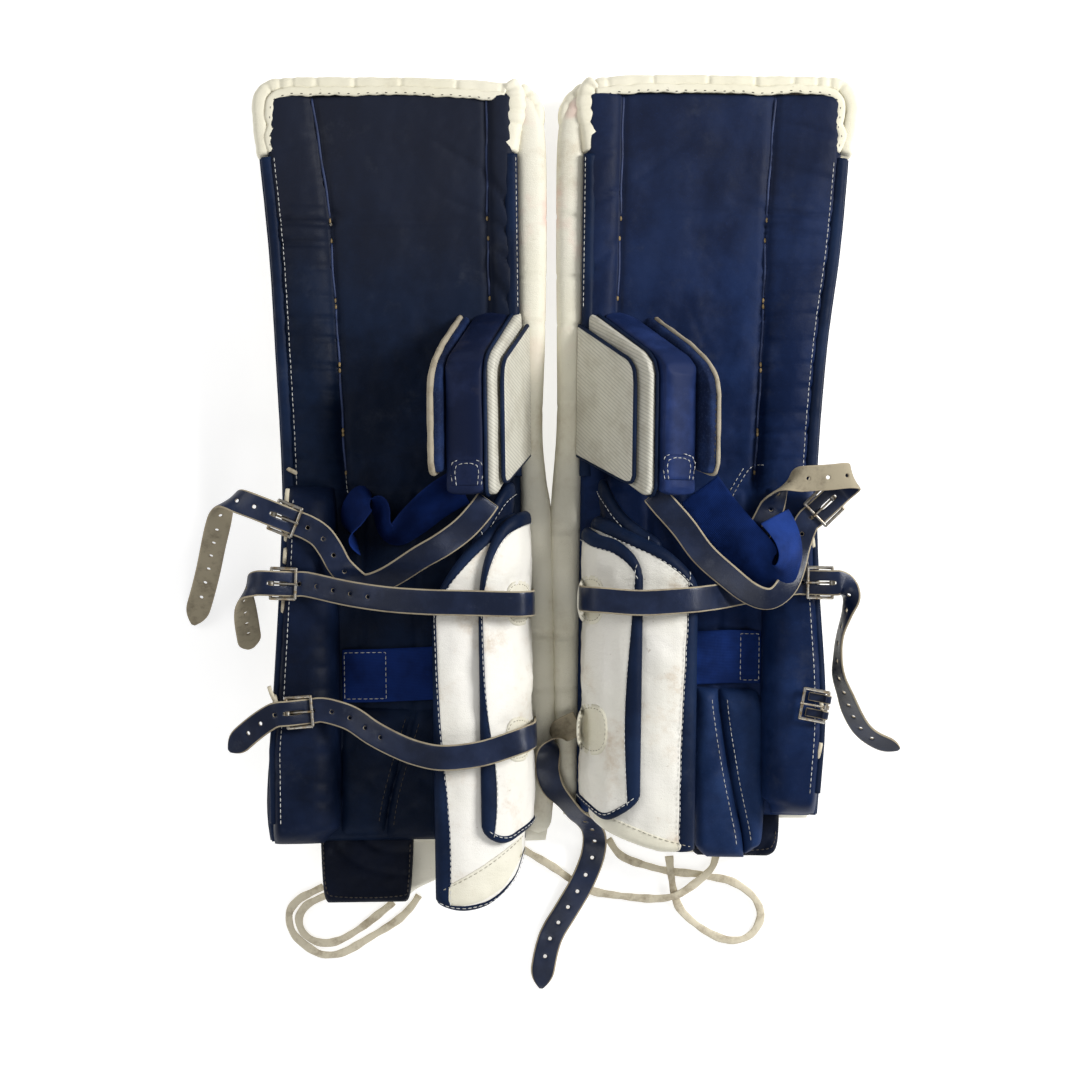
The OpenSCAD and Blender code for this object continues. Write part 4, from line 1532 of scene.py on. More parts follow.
    def build(self) -> None:
        """Makes the straps and the loops, and plates the buckles."""
        for which in ("knee", "calf", "boot"):
            self.strap(which, blend=which == "knee")
        self.loops()
        for which in self.buckles:
            for part in ("buckle", "prong"):
                metal = bpy.data.objects[self.side.node(f"{which}_{part}")]
                metal.data.materials.clear()
                metal.data.materials.append(NICKEL.material)
        LOG.info("%s straps: three straps, six loops", self.side.value)


@dataclass
class Elastics:
    """The wide knee elastic that lies folded, and the calf elastic with its hook patch."""

    side: Side
    width: float = 46.0

    def knee(self) -> None:
        """Makes the knee elastic."""
        left = [
            (60, 52, 88, 150, 35), (36, 38, 90, 140, 42), (12, 18, 92, 130, 50), (-6, 4, 92, 90, 62),
            (-17, 14, 92, 20, 68), (-20, 32, 92, 10, 62), (-32, 44, 92, -50, 50), (-45, 30, 92, -70, 40),
            (-50, 8, 92, -80, 30), (-42, -14, 90, -60, 40),
        ]
        right = [
            (2, 50, 96, 142, 10), (-14, 28, 102, 142, 12), (-34, 4, 113, 140, 15), (-54, -17, 126, 132, 25),
            (-69, -31, 137, 100, 45), (-79, -30, 143, 40, 55), (-84, -14, 144, 10, 55), (-81, 2, 144, -20, 52),
            (-75, 14, 143, -34, 48), (-68, 24, 141, -40, 45),
        ]
        route = Route(self.side.pick(left, right))
        band = Band(
            self.side.node("knee_elastic_band"), self.side, route, (ELASTIC_BLUE_SHADED_AND_LIT[self.side],) * 3,
            width=self.width, thick=1.9,
            crown=1.2,
        )
        obj = band.build()
        settle(obj, self.side.node("pad"), ELASTIC_BLUE_SHADED_AND_LIT[self.side], self.side.node("knee_elastic"))

    def calf(self) -> None:
        """Makes the calf elastic and the stitch row round the hook patch at its outer end."""
        x0, x1, low = self.side.pick((-62.0, 92.0, -162.0), (-64.0, 84.0, -143.0))
        y = low + 27.5
        bend = self.side.pick(3.0, -6.0)
        rows = [
            (x1, y + bend, 67.0, 90, 0), (x1 - 20, y + bend, 70.0, 90, 0),
            ((x0 + x1) / 2, y + bend * 0.4, 71.5, 90, 0), (x0 + 34, y, 71.5, 90, 0),
            (x0 + 8, y, 70.5, 90, 0), (x0, y, 69.0, 90, 0),
        ]
        route = Route(rows)
        band = Band(
            self.side.node("calf_elastic_band"), self.side, route, (ELASTIC_BLUE_SHADED_AND_LIT[self.side],) * 3, width=53,
            thick=2.0, crown=0.8
        )
        obj = band.build()
        settle(obj, self.side.node("pad"), ELASTIC_BLUE_SHADED_AND_LIT[self.side], self.side.node("calf_elastic"))
        patch_w = self.side.pick(44.0, 21.0)
        edge = [
            (x0 + 2.5, y - 23), (x0 + 2.5, y + 23), (x0 + patch_w, y + 23), (x0 + patch_w, y - 23),
            (x0 + 2.5, y - 23)
        ]
        ground = Ground(self.side, obj)
        sew("calf_elastic_seam", self.side, "pad", ground.drop(even(edge, 2.0), 0.4))

    def build(self) -> None:
        """Makes both."""
        self.knee()
        self.calf()
        LOG.info("%s elastics: knee and calf", self.side.value)


# ---------------------------------------------------------------- the pad itself


@dataclass
class Lines:
    """The lines that a pad's pieces share, seen from above."""

    side: Side
    outer: Callable[[Grid], Grid] = field(init=False)
    inner: Callable[[Grid], Grid] = field(init=False)
    cord_out: Callable[[Grid], Grid] = field(init=False)
    cord_in: Callable[[Grid], Grid] = field(init=False)
    foot: float = field(init=False)

    def __post_init__(self) -> None:
        """Sets the lines of this side."""
        pick = self.side.pick
        self.outer = edge_line(*pick(
            [
                (-310, -132), (-260, -137), (-160, -129), (-30, -120), (60, -117), (190, -122), (290, -127),
                (390, -136), (464, -140)
            ],
            [
                (-310, -117), (-260, -121), (-160, -126), (-40, -118), (60, -115), (190, -123), (290, -135),
                (390, -143), (464, -144)
            ],
        ))
        self.inner = edge_line(*pick(
            [
                (-310, 138), (-270, 144), (-200, 148), (0, 148), (60, 142), (110, 139), (200, 143), (300, 146),
                (400, 146), (430, 138), (455, 122), (464, 112)
            ],
            [
                (-310, 124), (-270, 132), (-200, 138), (-60, 144), (20, 146), (110, 141), (200, 142),
                (300, 144), (400, 144), (430, 136), (455, 120), (464, 110)
            ],
        ))
        self.cord_out = edge_line(*pick(
            [(60, -56), (85, -57), (200, -62), (305, -68), (330, -69), (445, -85)],
            [(60, -55), (85, -56), (200, -61), (305, -63), (330, -64), (445, -71)],
        ))
        self.cord_in = edge_line(
            *pick([(60, 91), (225, 90), (330, 89), (445, 90)], [(60, 88), (225, 84), (330, 82), (445, 81)])
        )
        self.foot = pick(-306.0, -280.0)


@dataclass
class Shell:
    """The leather cover of the front slab with its edge rolls, and the navy back panel on it."""

    side: Side
    lines: Lines
    panel_top: float = 65.0

    def ride_over_break(self, obj: bpy.types.Object, finish: Finish, *nodes: str) -> None:
        """Bakes a piece's placement and hides the nodes that it stands for; it does not bend where the thigh
        rise meets the shin.
        """
        bend_over(obj, self.side, ("pad", "thigh"), [(0, 296, 30), (0, 364, 30)], finish.slot)
        if nodes:
            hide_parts(*nodes)

    def cover(self) -> bpy.types.Object:
        """The cream slab that the pad lies on."""
        flat = Flat(self.lines.foot, 461, lambda y: self.lines.outer(y) + 3, self.lines.inner, 5.0, 14.0)
        rim = flat.rim(17, 14)
        sag = 0.7 * waves(flat.x, flat.y, 60, 3) + 0.5 * waves(flat.x, flat.y, 22, 4)
        for y in (-240, -205, -120, -20, 118, 176, 236, 284, 338):
            sag = sag + crease(flat.x, flat.y, (112, y), (150, y + 5), 1.3, 2.4)
        pillow = flat.pillow(self.side.node("slab_cover"), 29, 28.5 * rim + sag * rim, 28.6 * rim)
        obj = refine(pillow.build(self.side, COVER_CREAM))
        self.ride_over_break(
            obj, COVER_CREAM,
            *[self.side.node(n) for n in ("shin_cover", "shin_core", "thigh_cover", "thigh_core")]
        )
        return obj

    def inner_roll(self) -> bpy.types.Object:
        """The raised leather roll along the inner side."""
        y = np.linspace(self.side.pick(-296, -262), 446, 190)
        x = (self.lines.inner(y) + 118.0) / 2 + 0.5
        z = np.full_like(y, 52.0) + 0.8 * waves(x, y, 45, 8)
        half = (self.lines.inner(y) - 118.0) / 2 + 1.0
        folds = (-238, -150, -96, 8, 130, 214, 262, 322)
        half = half * (1 - 0.05 * bump_row(y, folds, 2.2))
        tall = 13.5 + 0.5 * waves(x, y, 30, 5) - 2.6 * bump_row(y, folds, 1.8)
        ends = rounded(np.minimum(y - y[0], y[-1] - y), 14)
        path = np.stack([x, y, z], axis=1)
        obj = tube(
            self.side.node("inner_roll"), self.side, path, half * ends + 0.5, tall * ends + 0.5, COVER_CREAM,
            20, 0.8
        )
        self.ride_over_break(obj, COVER_CREAM)
        return obj

    def relief(self, flat: Flat) -> Grid:
        """Height of the back panel above its base: columns, ribs, quilting and creases."""
        x, y, pick = flat.x, flat.y, self.side.pick
        outer, cord_out, cord_in = self.lines.outer(y), self.lines.cord_out(y), self.lines.cord_in(y)
        high = np.interp(y, [20, 62, 320, 345, 450], [2, 15, 13, 8, 6])
        t_out = np.clip((x - outer) / (cord_out - outer), 0, 1)
        t_mid = np.clip((x - cord_out) / (cord_in - cord_out), 0, 1)
        t_in = np.clip((x - cord_in) / (120 - cord_in), 0, 1)
        column = np.sin(math.pi * t_out) ** 0.55 * high
        middle = np.sin(math.pi * t_mid) ** 0.4 * np.interp(y, [0, 80, 450], [0.5, 3.0, 3.5])
        inner = np.sin(math.pi * t_in) ** 0.6 * np.interp(y, [0, 80, 450], [2, 8, 7])
        rng = np.random.default_rng(pick(11, 12))
        spots = [84 + 23.5 * k + rng.uniform(-3, 3) for k in range(11)]
        tilt = (x - outer) * 0.05
        ribs = bump_row(y + tilt, spots, 2.6) * (0.55 + 0.75 * (1 - np.sin(math.pi * t_out)))
        fine = np.sin((y + 3 * waves(x, y, 40, 21)) * 2 * math.pi / 9.5) * (1 - np.sin(math.pi * t_out)) * 0.55
        above = (y > 66) & (x < cord_out)
        total = column + middle + inner - above * (np.clip(2.9 * ribs, 0, 4.4) + 1.3 * fine)
        total = total + 0.8 * waves(x, y, 34, pick(31, 32), 1.4) + 1.2 * waves(x, y, 90, pick(33, 34), 1.5)
        total = total + 0.3 * waves(x, y, 11, pick(35, 36))
        for start, end, depth, width in self.creases():
            total = total + crease(x, y, start, end, 1.5 * depth, width)
        for seam in (cord_out, cord_in):
            total = total - (y > 60) * 3.4 * np.exp(-(((x - seam) / 3.4) ** 2))
        calf = y < 50
        lanes = pick((-40, 14, 60), (-48, -20, 12, 50))
        puff = sum(np.exp(-(((x - lane - 0.02 * y) / 2.6) ** 2)) for lane in lanes)
        swirl = sum(
            np.exp(-((np.hypot((x + 30) * 0.9, y + 250 - k * 20) - 26 - 8 * k) / 2.6) ** 2) * (y < -200)
            for k in range(3)
        )
        return total + calf * (3.0 - 2.6 * puff - pick(1.8, 0.6) * swirl + 0.8 * waves(x, y, 38, 41))

    def creases(self) -> list[tuple]:
        """The deeper folds: start, end, depth and half width."""
        if self.side is Side.LEFT:
            return [
                ((-120, 318), (-66, 318), 4.4, 3.2), ((-66, 318), (80, 317), 1.9, 4.2),
                ((-121, 296), (-66, 298), 3.2, 2.6),
                ((28, 402), (88, 366), 1.7, 2.6), ((44, 342), (88, 322), 1.5, 2.8),
                ((86, 368), (118, 318), 2.8, 3.4),
                ((90, 400), (116, 392), 1.4, 3.0), ((90, 318), (118, 300), 2.2, 3.2),
                ((92, 290), (116, 272), 2.4, 3.5),
                ((92, 262), (116, 226), 2.2, 3.5), ((-112, 338), (-72, 336), 1.4, 2.4),
                ((-70, 330), (-56, 322), 1.6, 2.0),
                ((-125, 390), (-90, 398), 1.4, 4.0), ((-20, 348), (60, 338), -0.6, 5.0),
                ((-40, 120), (60, 110), 0.8, 5.0),
                ((-60, 85), (30, 88), 1.4, 3.0), ((-56, 60), (-30, 36), 1.6, 3.0),
            ]
        return [
            ((-126, 322), (-64, 328), 3.8, 3.2), ((-64, 328), (76, 326), 1.8, 4.2),
            ((-124, 304), (-64, 307), 2.6, 2.6),
            ((72, 356), (16, 396), 1.7, 2.6), ((80, 350), (116, 330), 2.2, 3.0),
            ((86, 296), (116, 262), 2.0, 3.4),
            ((-30, 338), (-64, 332), 1.6, 3.0), ((-72, 418), (-130, 404), 1.8, 3.4),
            ((-78, 372), (-128, 360), 1.6, 3.4),
            ((-66, 344), (-120, 330), 1.4, 3.0), ((84, 410), (120, 404), 1.4, 3.0),
            ((84, 388), (110, 380), 1.3, 2.8),
            ((20, 250), (-6, 190), 0.7, 4.0), ((-50, 85), (40, 88), 1.3, 3.0), ((-56, 62), (-20, 30), 1.6, 3.0),
        ]

    def panel(self) -> bpy.types.Object:
        """The navy back panel, from the top binding to the heel."""
        flat = Flat(
            self.lines.foot + 6, 447, lambda y: self.lines.outer(y) + 5, lambda y: 0 * y + 118.5, 3.4, 8.0
        )
        rim = flat.rim(7, 7)
        up = (self.panel_top - 56 + self.relief(flat)) * rim
        pillow = flat.pillow(self.side.node("back_panel"), 56, up, 4 * rim)
        obj = pillow.build(self.side, PANEL_NAVY_SHADED_AND_LIT[self.side])
        nodes = ("shin_liner", "thigh_liner", "channel_bolsters")
        self.ride_over_break(obj, PANEL_NAVY_SHADED_AND_LIT[self.side], *[self.side.node(n) for n in nodes])
        return obj

    def trims(self, ground: Ground) -> None:
        """Bindings, stitch rows, sewn cords and the lacing of the outer edge."""
        lines, side = self.lines, self.side
        y = np.arange(lines.foot + 8, 384, 3.0)
        outer = lines.outer(y)
        path = np.stack(
            [outer + 5.0, y, 64 + np.interp(y, [20, 62, 320, 345], [3, 8, 7, 4]) + 0.5 * waves(y, y, 30, 2)],
            axis=1
        )
        for name, shift, drop, width in (("outer_binding", 0.0, 0.0, 5.6), ("outer_piping", -4.6, -9.0, 3.4)):
            obj = tube(side.node(name), side, path + (shift, 0, drop), width, width * 0.72, BINDING_NAVY, 12)
            self.ride_over_break(obj, BINDING_NAVY)
        seam = ground.drop(np.stack([outer + 13.0, y], axis=1), 0.35)
        self.ride_over_break(stitches(side.node("outer_seam"), side, seam), THREAD_WHITE)
        y = np.arange(62, 384, 3.0)
        inner = np.stack([0 * y + 113.5, y, 0 * y + 69.0 + 0.4 * waves(y, y, 26, 6)], axis=1)
        for name, shift, width in (("inner_binding", 0.0, 6.4), ("inner_piping", -8.6, 2.4)):
            obj = tube(
                side.node(name), side, inner + (shift, 0, 0.4 * shift), width, width * 0.7, BINDING_NAVY, 12
            )
            self.ride_over_break(obj, BINDING_NAVY)
        seam = inner[y > 228] + (4.6, 0, 3.7)
        self.ride_over_break(stitches(side.node("inner_seam"), side, seam), THREAD_WHITE)
        rows = side.pick(
            [[(-56, 66), (-53, 45), (-40, 30)]], [[(-30, 38), (-50, 72), (-66, 75)], [(-25, 40), (-45, 74)]]
        )
        for k, points in enumerate(rows):
            seam = ground.drop(even(smooth(points, 4), 2.0), 0.35)
            self.ride_over_break(stitches(side.node(f"slant_seam_{k}"), side, seam), THREAD_WHITE)
        self.cords(ground)
        self.lacing()

    def cords(self, ground: Ground) -> None:
        """The thin cords that quilt the panel, each stretch tied off with a knot."""
        runs = [(444, 322), (298, 242), (232, 178), (168, 112), (104, 70)]
        for line_name, line, limit in (("out", self.lines.cord_out, 60), ("in", self.lines.cord_in, 216)):
            for k, (start, end) in enumerate(runs):
                if end < limit:
                    continue
                y = np.linspace(start, end, 24)
                flat = np.stack([line(y) + 0.4 * np.sin(y / 9), y], axis=1)
                path = ground.drop(flat, 0.9)
                path[[0, -1], 2] -= 2.0
                obj = tube(self.side.node(f"cord_{line_name}_{k}"), self.side, path, 1.25, 1.25, CORD_BLUE, 8)
                self.ride_over_break(obj, CORD_BLUE)
                if k:
                    self.knot(f"knot_{line_name}_{k}", path[0] + (0, 2.0, 1.6))
                self.knot(f"knot_{line_name}_{k}_end", path[-1] + (0, -2.0, 1.6))

    def knot(self, name: str, place: Grid) -> None:
        """One small waxed knot."""
        clear_selection()
        bpy.ops.mesh.primitive_ico_sphere_add(
            subdivisions=2, radius=1.7 * MM, location=tuple(self.side.place(place))
        )
        obj = bpy.context.object
        obj.name = self.side.node(name)
        bpy.ops.object.mode_set(mode="EDIT")
        bpy.ops.transform.resize(value=(0.75, 1.5, 0.7))
        bpy.ops.object.mode_set(mode="OBJECT")
        bpy.ops.object.transform_apply(location=True, rotation=True, scale=True)
        bpy.ops.object.shade_smooth()
        obj.data.materials.append(THREAD_GOLD.material)
        obj.select_set(False)
        self.ride_over_break(obj, THREAD_GOLD)

    def lacing(self) -> None:
        """The cream leather lacing that holds the back to the front along the outer edge."""
        spots = self.side.pick(
            [(70, 62, 8), (43, -4, 1), (8, -6, 1), (-14, -4, 0), (-62, -5, 1), (-150, 22, -14), (-158, 12, -2)],
            [(60, 30, 1), (24, 22, 1), (2, -10, 2), (-46, 10, -3), (-160, -10, 0), (-205, 12, 0)],
        )
        for k, (y, lean, shift) in enumerate(spots):
            x = float(self.lines.outer(y)) + 6 + shift * 0.4
            c, s = math.cos(math.radians(90 + lean)), math.sin(math.radians(90 + lean))
            t = np.linspace(-8.5, 8.5, 9)
            path = np.stack([x + c * t, y + s * t, (76.5 if y > 56 else 106.5) - 0.055 * t**2], axis=1)
            obj = tube(self.side.node(f"edge_lace_{k}"), self.side, path, 2.1, 1.1, LACE_CREAM, 8, 0.7)
            settle(obj, self.side.node("pad"), LACE_CREAM)

    def build(self) -> None:
        """Makes the shell."""
        self.cover()
        self.inner_roll()
        panel = self.panel()
        self.trims(Ground(self.side, panel))
        LOG.info("%s shell: cover, inner roll, back panel, trims", self.side.value)


@dataclass
class TopBinding:
    """The white leather roll that wraps the top edge and its two corners."""

    side: Side
    step: float = 2.2

    def roll(
        self, name: str, points: Points, half: Sequence[tuple[float, float]], seed: int,
        creases: Sequence[float]
    ) -> None:
        """Makes one roll.

        Args:
            name: Its name.
            points: Its course.
            half: (share of the length, half width) pairs.
            seed: Picks its unevenness.
            creases: Distances from its start of the deep creases.
        """
        path = even(smooth(points, 10), self.step)
        gone = np.arange(len(path)) * self.step
        share = np.linspace(0, 1, len(path))
        pairs = np.asarray(half)
        width = (
            np.interp(share, pairs[:, 0], pairs[:, 1])
            * (1 + 0.045 * waves(gone, gone * 0, 26, seed) + 0.03 * waves(gone, gone * 0, 9, seed + 1))
        )
        pinch = bump_row(gone, creases, 1.7)
        width = width * (1 - 0.08 * pinch)
        tall = 23.0 * (1 + 0.02 * waves(gone, gone * 0, 20, seed + 2)) - 1.9 * pinch
        ends = rounded(np.minimum(gone, gone[-1] - gone), 5)
        tall, width = tall * (0.75 + 0.25 * ends), width * (0.7 + 0.3 * ends)
        obj = tube(self.side.node(name), self.side, path, width, tall, BINDING_WHITE, 28, 0.62)
        refine(obj)
        settle(obj, self.side.node("thigh"), BINDING_WHITE, self.side.node("top_binding"))

    def build(self) -> None:
        """Makes the top roll with its outer arm, the inner arm, the flap edge and the seams."""
        pick = self.side.pick
        z = 46.5
        top = pick(
            [
                (-133, 384, z), (-135, 410, z), (-136.5, 436, z), (-131, 450, z), (-116, 455.5, z),
                (-60, 456, z), (20, 454, z), (80, 450, z), (112, 446, z)
            ],
            [
                (-141, 386, z), (-145, 410, z), (-147, 436, z), (-140, 451, z), (-124, 456.5, z), (-60, 457, z),
                (20, 457, z), (80, 455, z), (110, 451, z)
            ],
        )
        self.roll(
            "top_roll", top, [(0, 8.6), (0.2, 9.3), (0.3, 8.5), (0.6, 8.2), (1, 9.5)], 51,
            (72, 84, 96, 120, 158, 205, 260, 305)
        )
        arm = pick(
            [(112, 455, z + 1), (118, 444, z + 2), (118, 425, z + 2), (114, 404, z + 2), (110, 386, z + 1)],
            [(109, 456, z + 1), (117, 445, z + 2), (117, 425, z + 2), (113, 404, z + 2), (110, 386, z + 1)],
        )
        self.roll("inner_arm", arm, [(0, 10.0), (0.35, 12.5), (0.7, 11.5), (1, 12.5)], 61, (9, 18, 30, 44))
        cap = pick(
            [(122, 452, 40), (134, 440, 40), (140, 424, 40), (139, 410, 39)],
            [(118, 452, 40), (130, 441, 40), (138, 425, 40), (137, 410, 39)],
        )
        self.roll("corner_cap", cap, [(0, 7.5), (0.5, 9.5), (1, 6.0)], 71, (12, 24))
        self.flap()

    def flap(self) -> None:
        """The thin raw edge of the roll's leather that lies on the panel, and its thread."""
        side = self.side
        line = side.pick(
            [
                (-124, 390), (-127, 402), (-125, 415), (-127, 430), (-121, 444), (-104, 448), (-80, 448),
                (-64, 449), (-40, 448), (0, 448), (40, 446), (80, 443), (108, 440)
            ],
            [
                (-131, 390), (-137, 404), (-134, 418), (-136, 432), (-129, 446), (-108, 450), (-84, 451),
                (-60, 449), (-30, 450), (10, 450), (50, 450), (80, 448), (108, 445)
            ],
        )
        path = even(smooth([(x, y, 68.5) for x, y in line], 8), 2.0)
        gone = np.arange(len(path)) * 2.0
        path[:, :2] += 0.9 * np.stack([waves(gone, 0 * gone, 17, 5), waves(gone, 0 * gone, 14, 9)], axis=1)
        obj = tube(side.node("binding_flap"), side, path, 4.6, 1.7, BINDING_WHITE, 10, 0.7)
        settle(obj, side.node("thigh"), BINDING_WHITE)
        seam = path + (0.6, -2.6, 1.5)
        sew("binding_thread", side, "thigh", seam[3:-3], THREAD_DARK, 9.5, 3.4, 0.5)


@dataclass
class Bolsters:
    """The soft lobes that line the channel behind the calf and run down to the heel."""

    side: Side

    def build(self) -> None:
        """Makes the lobes and the stitch rows along their seams."""
        side, pick = self.side, self.side.pick
        seam = edge_line(*pick(
            [(-300, -22), (-260, -16), (-210, -2), (-160, 14), (-110, 30)],
            [(-318, -50), (-290, -47), (-240, -36), (-190, -27), (-150, -22), (-96, -21)],
        ))
        foot = pick(-298.0, -316.0)
        lobes = [
            (
                seam,
                edge_line(*pick([(-300, 34), (-110, 40)], [(-318, -16), (-308, -4), (-290, 0), (-96, 2)])),
                foot, pick(-166.0, -146.0)
            ),
            (
                edge_line(
                    *pick(
                        [(-300, -66), (-60, -64)],
                        [(-312, -52), (-306, -60), (-290, -68), (-180, -69), (-140, -60), (-90, -56)]
                    )
                ),
                seam, foot + 4, pick(-166.0, -146.0)
            ),
        ]
        for k, (left, right, low, high) in enumerate(lobes):
            flat = Flat(low, high, left, right, 3.6, 8.0)
            x, y = flat.x, flat.y
            rim = rounded(flat.side_gap, 13) ** 0.8 * rounded(flat.end_gap, 13)
            rng = np.random.default_rng(pick(170, 180) + k)
            soft = 1.5 * waves(x, y, 44, pick(171, 181) + k, 1.3) + 0.7 * waves(x, y, 18, pick(172, 182) + k)
            for _ in range(9):
                a = (rng.uniform(x.min() + 4, x.max() - 4), rng.uniform(y.min() + 10, y.max() - 10))
                b = (a[0] + rng.uniform(-22, 22), a[1] + rng.uniform(-20, 20))
                soft = soft + crease(x, y, a, b, rng.uniform(0.8, 2.2), rng.uniform(1.8, 3.4))
            pillow = flat.pillow(side.node(f"calf_lobe_{k}"), 64, (pick(9.0, 14.0) + soft) * rim, 4 * rim)
            obj = refine(pillow.build(side, CHANNEL_BLUE_SHADED_AND_LIT[side]))
            heel = ("pad", "boot"), [(0, -252, 30), (0, -284, 30)]
            bend_over(obj, side, *heel, CHANNEL_BLUE_SHADED_AND_LIT[side].slot)
            span = np.arange(low + 14, high - 10, 3.0)
            ground = Ground(side, obj)
            name, line, shift = (("b", left, 7.5), ("a", right, -7.5))[k]
            row = ground.drop(np.stack([line(span) + shift, span], axis=1), 0.35, 74)
            obj = stitches(side.node(f"lobe_seam_{k}{name}"), side, row, pick(THREAD_DARK, THREAD_WHITE))
            bend_over(obj, side, *heel, THREAD_WHITE.slot)


@dataclass
class OuterWing:
    """The blue nylon wing beside the calf."""

    side: Side
    lines: Lines

    def build(self) -> None:
        """Makes the padded wing, swollen between its seams, with its stitch rows."""
        side, pick = self.side, self.side.pick
        foot = pick(-301.0, -271.0)

        def left(at: Grid) -> Grid:
            """The wing's outer edge."""
            return np.maximum(self.lines.outer(at) + 1.5, -131.5)

        right = edge_line((-305, -86), (foot + 12, -72), (foot + 34, -64), (0, -64), (56, -66))
        flat = Flat(foot, 56, left, right, 4.2, 12.0)
        x, y = flat.x, flat.y
        inner = np.maximum(right(y) - x, 0)
        rim = (
            rounded(x - left(y), 10) * rounded(inner, 30) ** 0.8 * rounded(flat.end_gap, 20)
            * rounded(57 - y, 34) ** 0.6
        )
        rng = np.random.default_rng(pick(81, 82))
        lanes = [foot + 34 + 22 * k + rng.uniform(-4, 4) for k in range(14)]
        folds = bump_row(y + 0.14 * x + 2.0 * waves(x, y, 30, 83), lanes, 2.6)
        up = (43.0 - 1.7 * folds + 0.9 * waves(x, y, 36, 84, 1.6) + 0.4 * waves(x, y, 13, 85, 1.5)) * rim
        pillow = flat.pillow(side.node("outer_wing_pad"), 68, up, 3.0 * rim)
        obj = pillow.build(side, WING_BLUE_SHADED_AND_LIT[side])
        seam_lines = [side.place([(-100.0, lane + 14, 85.0)])[0][1] for lane in lanes]

        def held(points: Grid) -> Grid:
            """Holds the foot of the pad and the cross folds."""
            seams = sum(np.exp(-(((points[:, 1] - s) / 0.0026) ** 2)) for s in seam_lines)
            return np.where(points[:, 2] < 0.076, 1.0, np.clip(seams, 0, 1))

        swell(obj, held, 3.2, 0.0028)
        refine(obj)
        settle(obj, side.node("pad"), WING_BLUE_SHADED_AND_LIT[side], side.node("outer_wing"))
        ground = Ground(side, obj)
        span = np.arange(foot + 24, pick(44, 30), 3.0)
        row = ground.drop(np.stack([left(span) + 11.0, span], axis=1), 0.3, 104)
        sew("wing_seam", side, "pad", row)
        edge = np.stack([left(span) + 3.4, span, 0 * span + 99.5], axis=1)
        settle(
            tube(side.node("wing_binding"), side, edge, 4.2, 5.0, BINDING_NAVY, 12), side.node("pad"),
            BINDING_NAVY
        )
        LOG.info("%s outer wing: pad, binding, stitch row", side.value)


